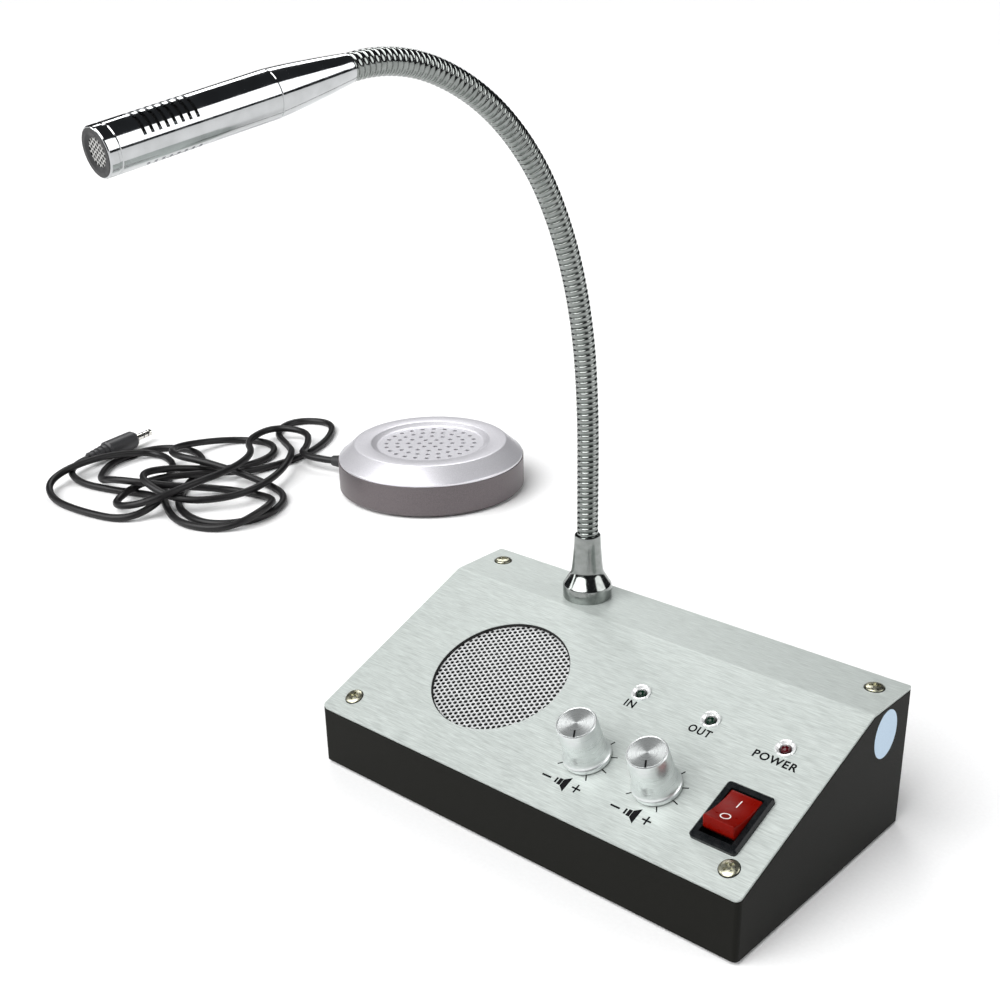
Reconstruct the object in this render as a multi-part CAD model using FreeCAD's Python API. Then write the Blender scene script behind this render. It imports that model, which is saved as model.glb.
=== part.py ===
import FreeCAD, Part
import math
import os
from FreeCAD import Placement, Rotation, Vector

# Teller window intercom: a wedge desk unit with a gooseneck microphone, and a
# round window speaker on a plug-in cord. Millimetres, +Z up, +Y to the rear.
# The origin is on the counter, under the middle of the desk unit.

# Shared clearances
overrun = 1.0
running_gap = 0.05
loose_gap = 0.3

# Desk unit housing
unit_width = 160.0
unit_depth = 88.0
front_height = 19.0
rear_height = 45.0
strip_depth = 22.0
housing_wall = 2.5
housing_floor = 2.5
housing_corner = 1.6
boss_diameter = 7.0
boss_inset = 8.0
rib_thickness = 1.5

# Rubber feet
foot_diameter = 11.0
foot_height = 1.2
foot_inset = 14.0
foot_recess = 0.6

# Top panel
panel_thickness = 1.0
panel_inset = 0.2
panel_front_corner = 1.8
panel_rear_corner = 0.8
panel_bend = 1.6

# Panel screws
screw_head = 6.6
screw_head_height = 1.1
screw_shank = 3.0
screw_length = 9.0
screw_cross_width = 0.9
screw_cross_span = 3.4
screw_cross_depth = 0.8
screw_inset = 8.0
screw_edge_share = 0.4
screw_crown_share = 0.72

# Control columns on the slope, as shares of the unit's width, and their rows
column_first_share = 0.0875
column_pitch_share = 0.15625
control_gap = 1.13
lamp_spacing = 27.5

# Built-in speaker, placed by shares of the unit's width and of the slope's length
grille_x_share = -0.203125
grille_row_share = 0.5192
grille_opening = 45.6
mesh_diameter = 52.0
mesh_thickness = 0.8
mesh_hole = 3.0
mesh_pitch = 4.6
mesh_rings = 5
basket_flange = 52.0
basket_flange_thickness = 1.0
basket_depth = 10.0
basket_side = 3.6
basket_neck = 26.0
basket_wall = 0.8
magnet_diameter = 28.0
magnet_height = 4.5
cone_mouth = 44.0
cone_throat = 13.0
cone_depth = 6.0
cone_sheet = 0.5
cone_setback = 2.2
voice_coil_height = 2.4
cone_cap_share = 0.7

# Indicator lamps
lamp_diameter = 3.0
lamp_body = 4.4
lamp_drop = 3.4
lamp_flange = 3.8
lamp_flange_thickness = 0.8
lamp_bezel = 6.0
lamp_bezel_rise = 0.9
lamp_bezel_sleeve = 4.6
lamp_bezel_depth = 4.8
lamp_lead = 0.5
lamp_lead_length = 6.0
lamp_lead_pitch = 1.27
lamp_bezel_lip = 0.3
lamp_dish_depth = 1.0

# Volume controls
knob_skirt = 14.8
knob_skirt_edge = 1.2
knob_waist = 12.7
knob_top = 12.2
knob_height = 14.2
knob_flare = 4.0
knob_flare_shares = (0.26, 0.36)
knob_lift = 0.8
knob_edge_break = 0.4
knob_pointer_width = 0.7
knob_pointer_length = 3.0
knob_pointer_depth = 0.25
knob_rest_turn = 30.0
knob_socket_depth = 10.5
pot_shaft = 6.0
pot_shaft_length = 11.0
pot_bush = 7.0
pot_bush_length = 6.0
pot_body = 16.0
pot_body_height = 7.5
pot_nut_width = 10.0
pot_nut_height = 2.0
knob_nut_room = 0.4
pot_lug_width = 2.0
pot_lug_length = 4.0
pot_lug_thickness = 0.5

# Power switch
switch_length = 21.0
switch_width = 15.0
switch_bezel_rise = 1.6
switch_body_length = 19.0
switch_body_width = 12.8
switch_body_depth = 12.0
switch_corner = 1.2
switch_well_length = 16.6
switch_well_width = 10.6
switch_well_depth = 7.0
switch_tab_width = 4.75
switch_tab_thickness = 0.8
switch_tab_length = 6.0
rocker_length = 14.2
rocker_width = 10.0
rocker_axis_height = -0.2
rocker_tilt = 18.0
rocker_dish = 1.0
rocker_pin = 2.0
rocker_keel_gap = 1.4
rocker_keel_share = 0.5

# Circuit board
board_side_room = 21.0
board_depth = 34.0
board_thickness = 1.6
board_setback = 30.0
board_z = 8.0
post_diameter = 5.5
post_screw = 2.2
capacitor_diameter = 8.0
capacitor_height = 11.0
chip_length = 12.0
chip_width = 8.0
chip_height = 3.5

# Rear sockets
jack_x_share = 0.2375
jack_z = 17.0
jack_bore = 3.6
jack_bore_length = 13.0
jack_collar = 7.8
jack_collar_rise = 1.6
jack_body_width = 8.0
jack_body_height = 8.5
jack_body_depth = 14.0
power_inlet_x_share = 0.3625
power_inlet_bore = 6.0
power_inlet_depth = 9.0
power_inlet_collar = 9.6
power_inlet_rise = 1.2
power_inlet_body = 11.0
power_inlet_length = 14.0
power_inlet_pin = 2.1
power_inlet_pin_length = 7.0

# Gooseneck
neck_x_share = -0.196875
neck_setback = 11.5
neck_diameter = 7.0
neck_valley = 6.0
neck_bore = 2.6
neck_length = 196.5
neck_links = 7
neck_rib_pitch = 2.0
neck_plane_turn = -6.0
neck_bend_shares = [0.0, 0.05, 0.10, 0.125, 0.19, 0.225, 0.31]
neck_total_bend = 100.0
ball_diameter = 4.8
ball_shoulder_gap = 1.5
neck_tail = 12.0
neck_sink = 1.0
flange_diameter = 16.0
flange_band = 5.0
flange_cone_top = 10.4
flange_cone_height = 5.2
flange_collar_top = 8.4
flange_height = 22.0
flange_stud = 9.6
flange_stud_length = 7.0
flange_nut = 14.0
flange_nut_height = 3.0

# Microphone
mic_diameter = 11.8
mic_taper_end = 7.3
mic_taper_length = 24.0
mic_taper_bulge_shares = (0.66, 0.47)
mic_barrel_length = 47.0
mic_wall = 0.9
mic_groove = 0.3
mic_slot_count = 8
mic_slot_width = 0.8
mic_slot_pitch = 2.2
mic_slot_arc = 112.0
mic_slot_start = 11.8
mic_mesh_diameter = 9.6
mic_mesh_thickness = 0.8
mic_mesh_setback = 0.35
mic_mesh_hole = 0.9
mic_mesh_pitch = 1.5
mic_mesh_rings = 2
mic_capsule_diameter = 9.4
mic_capsule_length = 6.7
mic_spigot = 9.6
mic_spigot_length = 3.0
mic_tail = 1.2

# Window speaker
puck_x = -232.5
puck_y = 162.0
puck_turn = 39.8
puck_diameter = 90.0
puck_base_height = 15.7
puck_lid_diameter = 89.2
puck_rim_height = 0.1
puck_height = 22.2
puck_ring_diameter = 73.6
puck_recess_diameter = 57.0
puck_recess_floor = 52.0
puck_recess_depth = 1.6
puck_wall = 2.2
puck_bevel_wall = 2.6
puck_skin = 0.6
puck_hole = 2.0
puck_hole_ring_step = 5.35
puck_hole_counts = [1, 6, 12, 20, 24]
puck_mic_hole_length = 5.0
puck_mic_hole_width = 2.2
puck_mic_angle = 141.0
puck_mic_radius = 40.5
puck_pad_diameter = 78.0
puck_pad_height = 1.0
puck_driver_diameter = 50.0
puck_driver_height = 7.0
puck_magnet_diameter = 24.0
puck_magnet_height = 4.0
puck_capsule_diameter = 6.0
puck_capsule_height = 3.0
puck_capsule_rise = 0.5
puck_capsule_inset = 3.5
puck_post_diameter = 6.0
puck_screw_shank = 2.6
puck_screw_head = 4.8
puck_screw_head_height = 1.6
puck_pilot_depth = 2.4
puck_post_radius = 37.5
gland_diameter = 7.6
gland_tip = 5.0
gland_length = 14.0
gland_collar = 9.0
gland_collar_length = 2.0
gland_height = 5.4
gland_angle = 160.0

# Plug
plug_shaft = 3.5
plug_shaft_length = 14.0
plug_body_diameter = 9.4
plug_body_length = 21.0
plug_boot_length = 12.0
plug_boot_end = 5.6
plug_ring_width = 0.7
plug_tip_length = 4.0
plug_ring_pitch = 3.4
plug_neck = 2.6
plug_collar_step = 0.8
plug_boot_ribs = 4
plug_boot_shares = (0.55, 0.6)
plug_tip_shares = (0.35, 0.62)


def solid_box(length, width, height, centre):
    """Box centred on a point in all three directions."""
    corner = centre - Vector(length / 2, width / 2, height / 2)
    return Part.makeBox(length, width, height, corner)


def rod(diameter, start, end):
    """Round bar from one point to another."""
    axis = end - start
    return Part.makeCylinder(diameter / 2, axis.Length, start, axis)


def turned(profile):
    """Solid of revolution about Z from (radius, height) corners."""
    points = [Vector(radius, 0, height) for radius, height in profile]
    wire = Part.makePolygon(points + [points[0]])
    return Part.Face(wire).revolve(Vector(0, 0, 0), Vector(0, 0, 1), 360)


def at(shape, position, rotation=Rotation()):
    """Copy of a shape that was made about the origin, put in its place."""
    moved = shape.copy()
    moved.Placement = Placement(position, rotation).multiply(moved.Placement)
    return moved


def hexagon_bar(across_flats, height):
    """Six-sided bar standing on the origin."""
    reach = across_flats / math.sqrt(3)
    corners = [Vector(reach * math.cos(math.radians(60 * k)), reach * math.sin(math.radians(60 * k)), 0)
               for k in range(7)]
    return Part.Face(Part.makePolygon(corners)).extrude(Vector(0, 0, height))


def honeycomb(rings, pitch):
    """Centres of a close-packed hole pattern about the origin."""
    centres = []
    for column in range(-rings, rings + 1):
        for row in range(-rings, rings + 1):
            if abs(column + row) <= rings:
                centres.append(Vector(pitch * (column + row / 2), pitch * row * math.sqrt(3) / 2, 0))
    return centres


def save(node, shape):
    """Write one piece, and say if it isn't sound."""
    if not shape.isValid() or not shape.Solids:
        print("CHECK", node, "valid", shape.isValid(), "solids", len(shape.Solids))
    shape.exportStep("parts/" + node + ".step")


def save_group(node, solids):
    """Write several like pieces as one node."""
    save(node, Part.makeCompound(solids))


os.makedirs("parts", exist_ok=True)

# The slope's own frame: X across, Y up the slope from its front edge, Z square to it
slope_angle = math.degrees(math.atan2(rear_height - front_height, unit_depth - strip_depth))
slope_rotation = Rotation(Vector(1, 0, 0), slope_angle)
slope_origin = Vector(0, -unit_depth / 2, foot_height + front_height)
strip_top = foot_height + rear_height + panel_thickness


def on_slope(shape, across, up, height=0.0):
    """Put a shape made about the origin on the slope's underside plane."""
    place = slope_origin + slope_rotation.multVec(Vector(across, up, height))
    return at(shape, place, slope_rotation)


def slope_point(across, up, height):
    return slope_origin + slope_rotation.multVec(Vector(across, up, height))


slope_length = math.hypot(unit_depth - strip_depth, rear_height - front_height)
column_places = [unit_width * (column_first_share + step * column_pitch_share) for step in range(3)]
control_row = screw_inset + boss_diameter / 2 + control_gap + switch_body_length / 2
lamp_row = control_row + lamp_spacing
grille_x = unit_width * grille_x_share
grille_row = slope_length * grille_row_share
board_width = unit_width - 2 * board_side_room
board_y = unit_depth / 2 - board_setback
jack_x = unit_width * jack_x_share
power_inlet_x = unit_width * power_inlet_x_share
neck_x = unit_width * neck_x_share
neck_y = unit_depth / 2 - neck_setback
screw_x = unit_width / 2 - boss_inset
screw_rear_y = unit_depth / 2 - screw_inset
slope_screws = [(side * screw_x, screw_inset) for side in (-1, 1)]
strip_screws = [(side * screw_x, screw_rear_y) for side in (-1, 1)]


# Housing: a moulded tub, open at the top, with screw bosses and socket holes
def wedge(inset, floor_height, top_offset):
    """Wedge inside the housing's outline, cut back by an inset on every side."""
    half = unit_depth / 2 - inset
    lift = top_offset / math.cos(math.radians(slope_angle))
    rise = math.tan(math.radians(slope_angle))
    front_top = foot_height + front_height + inset * rise + lift
    bend_y = unit_depth / 2 - strip_depth
    rear_top = foot_height + rear_height + top_offset
    bend_y += (rear_top - (foot_height + rear_height + lift)) / rise
    corners = [(-half, floor_height), (half, floor_height), (half, rear_top),
               (bend_y, rear_top), (-half, front_top)]
    left = -unit_width / 2 + inset
    points = [Vector(left, y, z) for y, z in corners]
    face = Part.Face(Part.makePolygon(points + [points[0]]))
    return face.extrude(Vector(unit_width - 2 * inset, 0, 0))


def upright_edges(shape):
    return [edge for edge in shape.Edges
            if abs(edge.tangentAt(edge.FirstParameter).z) > 0.99 and len(edge.Vertexes) == 2]


def make_housing():
    outer = wedge(0.0, foot_height, 0.0)
    outer = outer.makeFillet(housing_corner, upright_edges(outer))
    inner = wedge(housing_wall, foot_height + housing_floor, overrun)
    shell = outer.cut(inner)
    room = wedge(0.0, foot_height, 0.0)
    pieces = []
    for across, up in slope_screws:
        foot = slope_point(across, up, 0)
        boss = rod(boss_diameter, Vector(foot.x, foot.y, foot_height),
                   Vector(foot.x, foot.y, foot_height + rear_height))
        web = solid_box(unit_width / 2 - abs(foot.x), rib_thickness, front_height,
                        Vector(math.copysign((unit_width / 2 + abs(foot.x)) / 2, foot.x), foot.y,
                               foot_height + front_height / 2))
        pieces += [boss.common(room), web.common(room)]
    for across, place_y in strip_screws:
        boss = rod(boss_diameter, Vector(across, place_y, foot_height),
                   Vector(across, place_y, foot_height + rear_height))
        web = solid_box(unit_width / 2 - abs(across), rib_thickness, rear_height,
                        Vector(math.copysign((unit_width / 2 + abs(across)) / 2, across), place_y,
                               foot_height + rear_height / 2))
        pieces += [boss, web]
    for across, place_y in board_posts:
        pieces.append(rod(post_diameter, Vector(across, place_y, foot_height),
                          Vector(across, place_y, board_z)))
    shell = shell.fuse(pieces).removeSplitter()
    holes = []
    for across, up in slope_screws:
        pilot = rod(screw_shank, Vector(0, 0, -screw_length), Vector(0, 0, overrun))
        holes.append(on_slope(pilot, across, up))
    for across, place_y in strip_screws:
        top = foot_height + rear_height
        holes.append(rod(screw_shank, Vector(across, place_y, top - screw_length),
                         Vector(across, place_y, top + overrun)))
    for across, place_y in board_posts:
        holes.append(rod(post_screw, Vector(across, place_y, foot_height + housing_floor),
                         Vector(across, place_y, board_z + overrun)))
    back = unit_depth / 2
    for across, collar in ((jack_x, jack_collar), (power_inlet_x, power_inlet_collar)):
        holes.append(rod(collar, Vector(across, back - housing_wall - overrun, jack_z),
                         Vector(across, back + overrun, jack_z)))
    for across, place_y in foot_places:
        holes.append(rod(foot_diameter, Vector(across, place_y, 0),
                         Vector(across, place_y, foot_height + foot_recess)))
    return shell.cut(holes)


foot_places = [(x, y) for x in (-unit_width / 2 + foot_inset, unit_width / 2 - foot_inset)
               for y in (-unit_depth / 2 + foot_inset, unit_depth / 2 - foot_inset)]
board_posts = [(x, board_y + y) for x in (-board_width / 2 + post_diameter, board_width / 2 - post_diameter)
               for y in (-board_depth / 2 + post_diameter, board_depth / 2 - post_diameter)]


# Rubber feet: four discs let into the floor, with a soft lower edge
def make_feet():
    edge = foot_height / 2
    radius = foot_diameter / 2 - running_gap
    profile = [(0, 0), (radius - edge, 0), (radius, edge), (radius, foot_height + foot_recess),
               (0, foot_height + foot_recess)]
    return [at(turned(profile), Vector(x, y, 0)) for x, y in foot_places]


# Top panel: one aluminium sheet bent along the unit's width
def make_panel():
    thick = panel_thickness
    half_angle = math.radians(slope_angle / 2)
    slope = slope_rotation.multVec(Vector(0, 1, 0))
    normal = slope_rotation.multVec(Vector(0, 0, 1))
    front_low = slope_origin + slope * panel_inset
    bend_low = Vector(0, unit_depth / 2 - strip_depth, foot_height + rear_height)
    rear_y = unit_depth / 2 - panel_inset
    rear_low = Vector(0, rear_y, foot_height + rear_height)
    bend_shift = thick * math.tan(half_angle)
    bend_high = bend_low + Vector(0, -bend_shift, thick)
    points = [front_low, bend_low, rear_low, rear_low + Vector(0, 0, thick), bend_high,
              front_low + normal * thick]
    left = Vector(-unit_width / 2 + panel_inset, 0, 0)
    face = Part.Face(Part.makePolygon([p + left for p in points] + [points[0] + left]))
    sheet = face.extrude(Vector(unit_width - 2 * panel_inset, 0, 0))
    bends = [edge for edge in sheet.Edges
             if abs(edge.CenterOfMass.x) < running_gap
             and (edge.CenterOfMass - bend_high).Length < running_gap]
    sheet = sheet.makeFillet(panel_bend, bends)
    fronts = []
    rears = []
    for edge in sheet.Edges:
        centre = edge.CenterOfMass
        off_side = abs(abs(centre.x) - unit_width / 2 + panel_inset)
        if edge.Length < thick + loose_gap and off_side < running_gap:
            (fronts if centre.y < 0 else rears).append(edge)
    sheet = sheet.makeFillet(panel_front_corner, fronts)
    rears = [edge for edge in sheet.Edges
             if abs(edge.Length - thick) < running_gap and edge.CenterOfMass.y > rear_y - running_gap]
    sheet = sheet.makeFillet(panel_rear_corner, rears)
    low = Vector(0, 0, -overrun)
    high = Vector(0, 0, thick + overrun)
    holes = [on_slope(rod(grille_opening, low, high), grille_x, grille_row)]
    for across in column_places:
        holes.append(on_slope(rod(lamp_bezel_sleeve + 2 * running_gap, low, high), across, lamp_row))
    for across in column_places[:2]:
        holes.append(on_slope(rod(pot_bush + 2 * running_gap, low, high), across, control_row))
    cutout = solid_box(switch_body_width + 2 * running_gap, switch_body_length + 2 * running_gap,
                       thick + 2 * overrun, Vector(0, 0, thick / 2))
    holes.append(on_slope(cutout, column_places[2], control_row))
    for across, up in slope_screws:
        holes.append(on_slope(rod(screw_shank + 2 * loose_gap, low, high), across, up))
    under = foot_height + rear_height
    for across, place_y in strip_screws:
        holes.append(rod(screw_shank + 2 * loose_gap, Vector(across, place_y, under - overrun),
                         Vector(across, place_y, under + thick + overrun)))
    holes.append(rod(flange_stud + 2 * running_gap, Vector(neck_x, neck_y, under - overrun),
                     Vector(neck_x, neck_y, under + thick + overrun)))
    return sheet.cut(holes)


# Panel screws: pan heads with a cross recess
def make_panel_screw():
    radius = screw_head / 2
    shank = screw_shank / 2 - running_gap
    tip = running_gap - screw_length
    profile = [(0, tip), (shank, tip), (shank, 0), (radius, 0),
               (radius, screw_head_height * screw_edge_share),
               (radius * screw_crown_share, screw_head_height), (0, screw_head_height)]
    screw = turned(profile)
    top = Vector(0, 0, screw_head_height)
    cross = [solid_box(screw_cross_span, screw_cross_width, 2 * screw_cross_depth, top),
             solid_box(screw_cross_width, screw_cross_span, 2 * screw_cross_depth, top)]
    return screw.cut(cross)


def make_panel_screws():
    screw = make_panel_screw()
    placed = [on_slope(screw, across, up, panel_thickness) for across, up in slope_screws]
    placed += [at(screw, Vector(across, place_y, strip_top)) for across, place_y in strip_screws]
    return placed


# Built-in speaker: perforated mesh, basket, cone and magnet, glued under the panel
def make_mesh():
    disc = rod(mesh_diameter, Vector(0, 0, -mesh_thickness), Vector(0, 0, 0))
    hole = hexagon_bar(mesh_hole, mesh_thickness + 2 * overrun)
    visible = (grille_opening - mesh_hole) / 2
    holes = [at(hole, centre + Vector(0, 0, -mesh_thickness - overrun))
             for centre in honeycomb(mesh_rings, mesh_pitch) if centre.Length <= visible]
    return on_slope(disc.cut(holes), grille_x, grille_row)


def make_basket():
    top = -mesh_thickness
    rim = basket_flange / 2
    neck = basket_neck / 2
    mouth = cone_mouth / 2 + loose_gap
    floor = top - basket_depth
    hole = cone_throat / 2 + basket_wall
    outside = mouth + basket_wall
    profile = [(rim, top), (rim, top - basket_flange_thickness), (outside, top - basket_flange_thickness),
               (outside, top - basket_side), (neck, floor), (hole, floor), (hole, floor + basket_wall),
               (neck - basket_wall / 2, floor + basket_wall), (mouth, top - basket_side), (mouth, top)]
    return on_slope(turned(profile), grille_x, grille_row)


def make_cone():
    top = -mesh_thickness - cone_setback
    mouth = cone_mouth / 2 - basket_wall
    throat = cone_throat / 2 - running_gap
    low = -mesh_thickness - basket_depth
    bottom = top - cone_depth + cone_sheet
    cap = throat * cone_cap_share
    profile = [(mouth, top), (mouth, top - cone_sheet), (throat, bottom - cone_sheet), (throat, low),
               (cap, low), (cap, bottom - cone_sheet), (0, bottom - cone_sheet), (0, bottom + cone_sheet),
               (throat, bottom)]
    return on_slope(turned(profile), grille_x, grille_row)


def make_magnet():
    top = -mesh_thickness - basket_depth
    body = rod(magnet_diameter, Vector(0, 0, top - magnet_height), Vector(0, 0, top))
    pole = rod(cone_throat * cone_cap_share - 2 * loose_gap, Vector(0, 0, top),
               Vector(0, 0, top + voice_coil_height / 2))
    return on_slope(body.fuse(pole), grille_x, grille_row)


# Indicator lamps in polished bezels
def make_lamp_bezel():
    flange = lamp_bezel / 2
    sleeve = lamp_bezel_sleeve / 2
    bore = lamp_flange / 2 + running_gap
    mouth = lamp_diameter / 2 + running_gap
    top = panel_thickness + lamp_bezel_rise
    seat = panel_thickness - lamp_drop
    profile = [(sleeve, panel_thickness - lamp_bezel_depth), (sleeve, panel_thickness),
               (flange, panel_thickness), (flange, top - lamp_bezel_lip),
               (flange - lamp_bezel_lip, top), (mouth, top - lamp_dish_depth), (mouth, seat), (bore, seat),
               (bore, panel_thickness - lamp_bezel_depth)]
    return turned(profile)


def make_lamp():
    radius = lamp_diameter / 2
    seat = panel_thickness - lamp_drop
    shoulder = seat + lamp_body - radius
    stem = [(0, seat - lamp_flange_thickness), (lamp_flange / 2, seat - lamp_flange_thickness),
            (lamp_flange / 2, seat), (radius, seat), (radius, shoulder), (0, shoulder)]
    dome = Part.makeSphere(radius, Vector(0, 0, shoulder), Vector(0, 0, 1), 0, 90, 360)
    lead_height = seat - lamp_flange_thickness - lamp_lead_length / 2
    leads = [solid_box(lamp_lead, lamp_lead, lamp_lead_length,
                       Vector(side * lamp_lead_pitch, 0, lead_height)) for side in (-1, 1)]
    return turned(stem).fuse([dome] + leads)


# Volume controls: potentiometer, nut, shaft and spun aluminium knob
def make_pot():
    body = rod(pot_body, Vector(0, 0, -pot_body_height), Vector(0, 0, 0))
    bush = rod(pot_bush, Vector(0, 0, 0), Vector(0, 0, pot_bush_length))
    lugs = [solid_box(pot_lug_width, pot_lug_thickness, pot_lug_length,
                      Vector(k * pot_body / 4, -pot_body / 2 + pot_lug_length / 4,
                             -pot_body_height - pot_lug_length / 2))
            for k in (-1, 0, 1)]
    well = rod(pot_shaft + 2 * running_gap, Vector(0, 0, -pot_body_height / 2),
               Vector(0, 0, pot_bush_length + overrun))
    return body.fuse([bush] + lugs).cut(well)


def make_pot_nut():
    bar = at(hexagon_bar(pot_nut_width, pot_nut_height), Vector(0, 0, panel_thickness))
    bore = rod(pot_bush + 2 * running_gap, Vector(0, 0, 0),
               Vector(0, 0, panel_thickness + pot_nut_height + overrun))
    return bar.cut(bore)


def make_shaft():
    low = -pot_body_height / 2 + loose_gap
    high = panel_thickness + knob_lift + knob_socket_depth - running_gap
    return rod(pot_shaft, Vector(0, 0, low), Vector(0, 0, high))


def make_knob():
    base = panel_thickness + knob_lift
    top = base + knob_height
    skirt = knob_skirt / 2
    waist = knob_waist / 2
    crown = knob_top / 2
    edge_top = base + knob_skirt_edge
    neck_height = edge_top + knob_flare
    # The flare is an arc that leaves the skirt's rim and meets the body smoothly
    start = Vector(skirt, 0, edge_top)
    end = Vector(waist, 0, neck_height)
    inward, upward = knob_flare_shares
    middle = Vector(waist + (skirt - waist) * inward, 0, edge_top + knob_flare * upward)
    rim_low = Vector(skirt, 0, base)
    nut_room = pot_nut_width / math.sqrt(3) + knob_nut_room
    nut_top = panel_thickness + pot_nut_height + loose_gap
    bore = pot_shaft / 2
    bush_room = pot_bush / 2 + loose_gap
    bush_top = pot_bush_length + loose_gap
    socket_top = base + knob_socket_depth
    corners = [end, Vector(crown, 0, top - knob_edge_break), Vector(crown - knob_edge_break, 0, top),
               Vector(0, 0, top), Vector(0, 0, socket_top), Vector(bore, 0, socket_top),
               Vector(bore, 0, bush_top), Vector(bush_room, 0, bush_top), Vector(bush_room, 0, nut_top),
               Vector(nut_room, 0, nut_top), Vector(nut_room, 0, base), rim_low, start]
    edges = [Part.Arc(start, middle, end).toShape()]
    edges += [Part.makeLine(a, b) for a, b in zip(corners[:-1], corners[1:])]
    body = Part.Face(Part.Wire(edges)).revolve(Vector(0, 0, 0), Vector(0, 0, 1), 360)
    pointer = solid_box(knob_pointer_width, knob_pointer_length + overrun, 2 * knob_pointer_depth,
                        Vector(0, -crown + (knob_pointer_length - overrun) / 2, top))
    return at(body.cut(pointer), Vector(0, 0, 0), Rotation(Vector(0, 0, 1), knob_rest_turn))


# Power switch: snap-in case with bezel, spade tabs and a rocker
def make_switch_case():
    bezel_top = panel_thickness + switch_bezel_rise
    bezel = solid_box(switch_width, switch_length, switch_bezel_rise,
                      Vector(0, 0, panel_thickness + switch_bezel_rise / 2))
    bezel = bezel.makeFillet(switch_corner, upright_edges(bezel))
    rim = [edge for edge in bezel.Edges if abs(edge.CenterOfMass.z - bezel_top) < running_gap]
    bezel = bezel.makeChamfer(switch_bezel_rise / 3, rim)
    body = solid_box(switch_body_width, switch_body_length, switch_body_depth,
                     Vector(0, 0, panel_thickness - switch_body_depth / 2))
    well = solid_box(switch_well_width, switch_well_length, switch_well_depth + overrun,
                     Vector(0, 0, bezel_top + overrun / 2 - switch_well_depth / 2))
    floor = panel_thickness - switch_body_depth
    tabs = [solid_box(switch_tab_width, switch_tab_thickness, switch_tab_length,
                      Vector(0, k * switch_body_length / 3, floor - switch_tab_length / 2))
            for k in (-1, 0, 1)]
    pins = [rod(rocker_pin, Vector(side * switch_body_width / 2, 0, rocker_axis_height + panel_thickness),
                Vector(side * (rocker_width / 2 - overrun), 0, rocker_axis_height + panel_thickness))
            for side in (-1, 1)]
    return bezel.fuse([body]).cut(well).fuse(tabs + pins)


def make_rocker():
    """Rocker, modelled level about its pin and then tipped to its ON position."""
    half = rocker_length / 2
    tip = math.radians(rocker_tilt)
    bezel_above_pin = switch_bezel_rise - rocker_axis_height
    end_height = bezel_above_pin + half * math.sin(tip)
    keel = -(switch_well_depth - bezel_above_pin) + rocker_keel_gap
    dish_low = end_height - rocker_dish
    side = rocker_width / 2
    low_half = half * rocker_keel_share
    top = Part.Arc(Vector(-side, -half, end_height), Vector(-side, 0, dish_low),
                   Vector(-side, half, end_height))
    lower = [Vector(-side, half, end_height), Vector(-side, half, 0), Vector(-side, low_half, keel),
             Vector(-side, -low_half, keel), Vector(-side, -half, 0), Vector(-side, -half, end_height)]
    edges = [top.toShape()] + [Part.makeLine(a, b) for a, b in zip(lower[:-1], lower[1:])]
    body = Part.Face(Part.Wire(edges)).extrude(Vector(rocker_width, 0, 0))
    bore = rod(rocker_pin + 2 * running_gap, Vector(-side - overrun, 0, 0), Vector(side + overrun, 0, 0))
    body = body.cut(bore)
    tilt = Rotation(Vector(1, 0, 0), -rocker_tilt)
    pin_height = panel_thickness + rocker_axis_height
    return on_slope(at(body, Vector(0, 0, pin_height), tilt), column_places[2], control_row)


# Circuit board with the tallest components
def make_board():
    board = solid_box(board_width, board_depth, board_thickness,
                      Vector(0, board_y, board_z + board_thickness / 2))
    holes = [rod(post_screw + 2 * loose_gap, Vector(x, y, board_z - overrun),
                 Vector(x, y, board_z + board_thickness + overrun)) for x, y in board_posts]
    return board.cut(holes)


def make_board_screws():
    top = board_z + board_thickness
    radius = post_screw / 2 - running_gap
    profile = [(0, board_z - board_thickness * 2), (radius, board_z - board_thickness * 2), (radius, top),
               (post_screw, top), (post_screw, top + post_screw / 2), (0, top + post_screw / 2)]
    return [at(turned(profile), Vector(x, y, 0)) for x, y in board_posts]


def make_components():
    top = board_z + board_thickness
    places = [column_places[0] + side * capacitor_diameter for side in (-1, 1)]
    cans = [rod(capacitor_diameter, Vector(x, board_y, top), Vector(x, board_y, top + capacitor_height))
            for x in places]
    chip = solid_box(chip_length, chip_width, chip_height,
                     Vector(column_places[1], board_y - board_depth / 4, top + chip_height / 2))
    return cans + [chip]


# Rear sockets: a 3.5 mm jack for the window speaker, and a power inlet
def make_jack():
    back = unit_depth / 2
    mouth = back + jack_collar_rise
    inner = back - housing_wall
    body = solid_box(jack_body_width, jack_body_depth, jack_body_height,
                     Vector(jack_x, inner - jack_body_depth / 2, jack_z))
    collar = rod(jack_collar - 2 * running_gap, Vector(jack_x, inner, jack_z), Vector(jack_x, mouth, jack_z))
    bore = rod(jack_bore, Vector(jack_x, mouth - jack_bore_length, jack_z),
               Vector(jack_x, mouth + overrun, jack_z))
    return body.fuse(collar).cut(bore)


def make_power_inlet():
    back = unit_depth / 2
    mouth = back + power_inlet_rise
    inner = back - housing_wall
    body = solid_box(power_inlet_body, power_inlet_length, power_inlet_body,
                     Vector(power_inlet_x, inner - power_inlet_length / 2, jack_z))
    collar = rod(power_inlet_collar - 2 * running_gap, Vector(power_inlet_x, inner, jack_z),
                 Vector(power_inlet_x, mouth, jack_z))
    bore = rod(power_inlet_bore, Vector(power_inlet_x, mouth - power_inlet_depth, jack_z),
               Vector(power_inlet_x, mouth + overrun, jack_z))
    pin = rod(power_inlet_pin, Vector(power_inlet_x, mouth - power_inlet_depth - overrun, jack_z),
              Vector(power_inlet_x, mouth - power_inlet_depth + power_inlet_pin_length, jack_z))
    return body.fuse(collar).cut(bore).fuse(pin)


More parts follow.
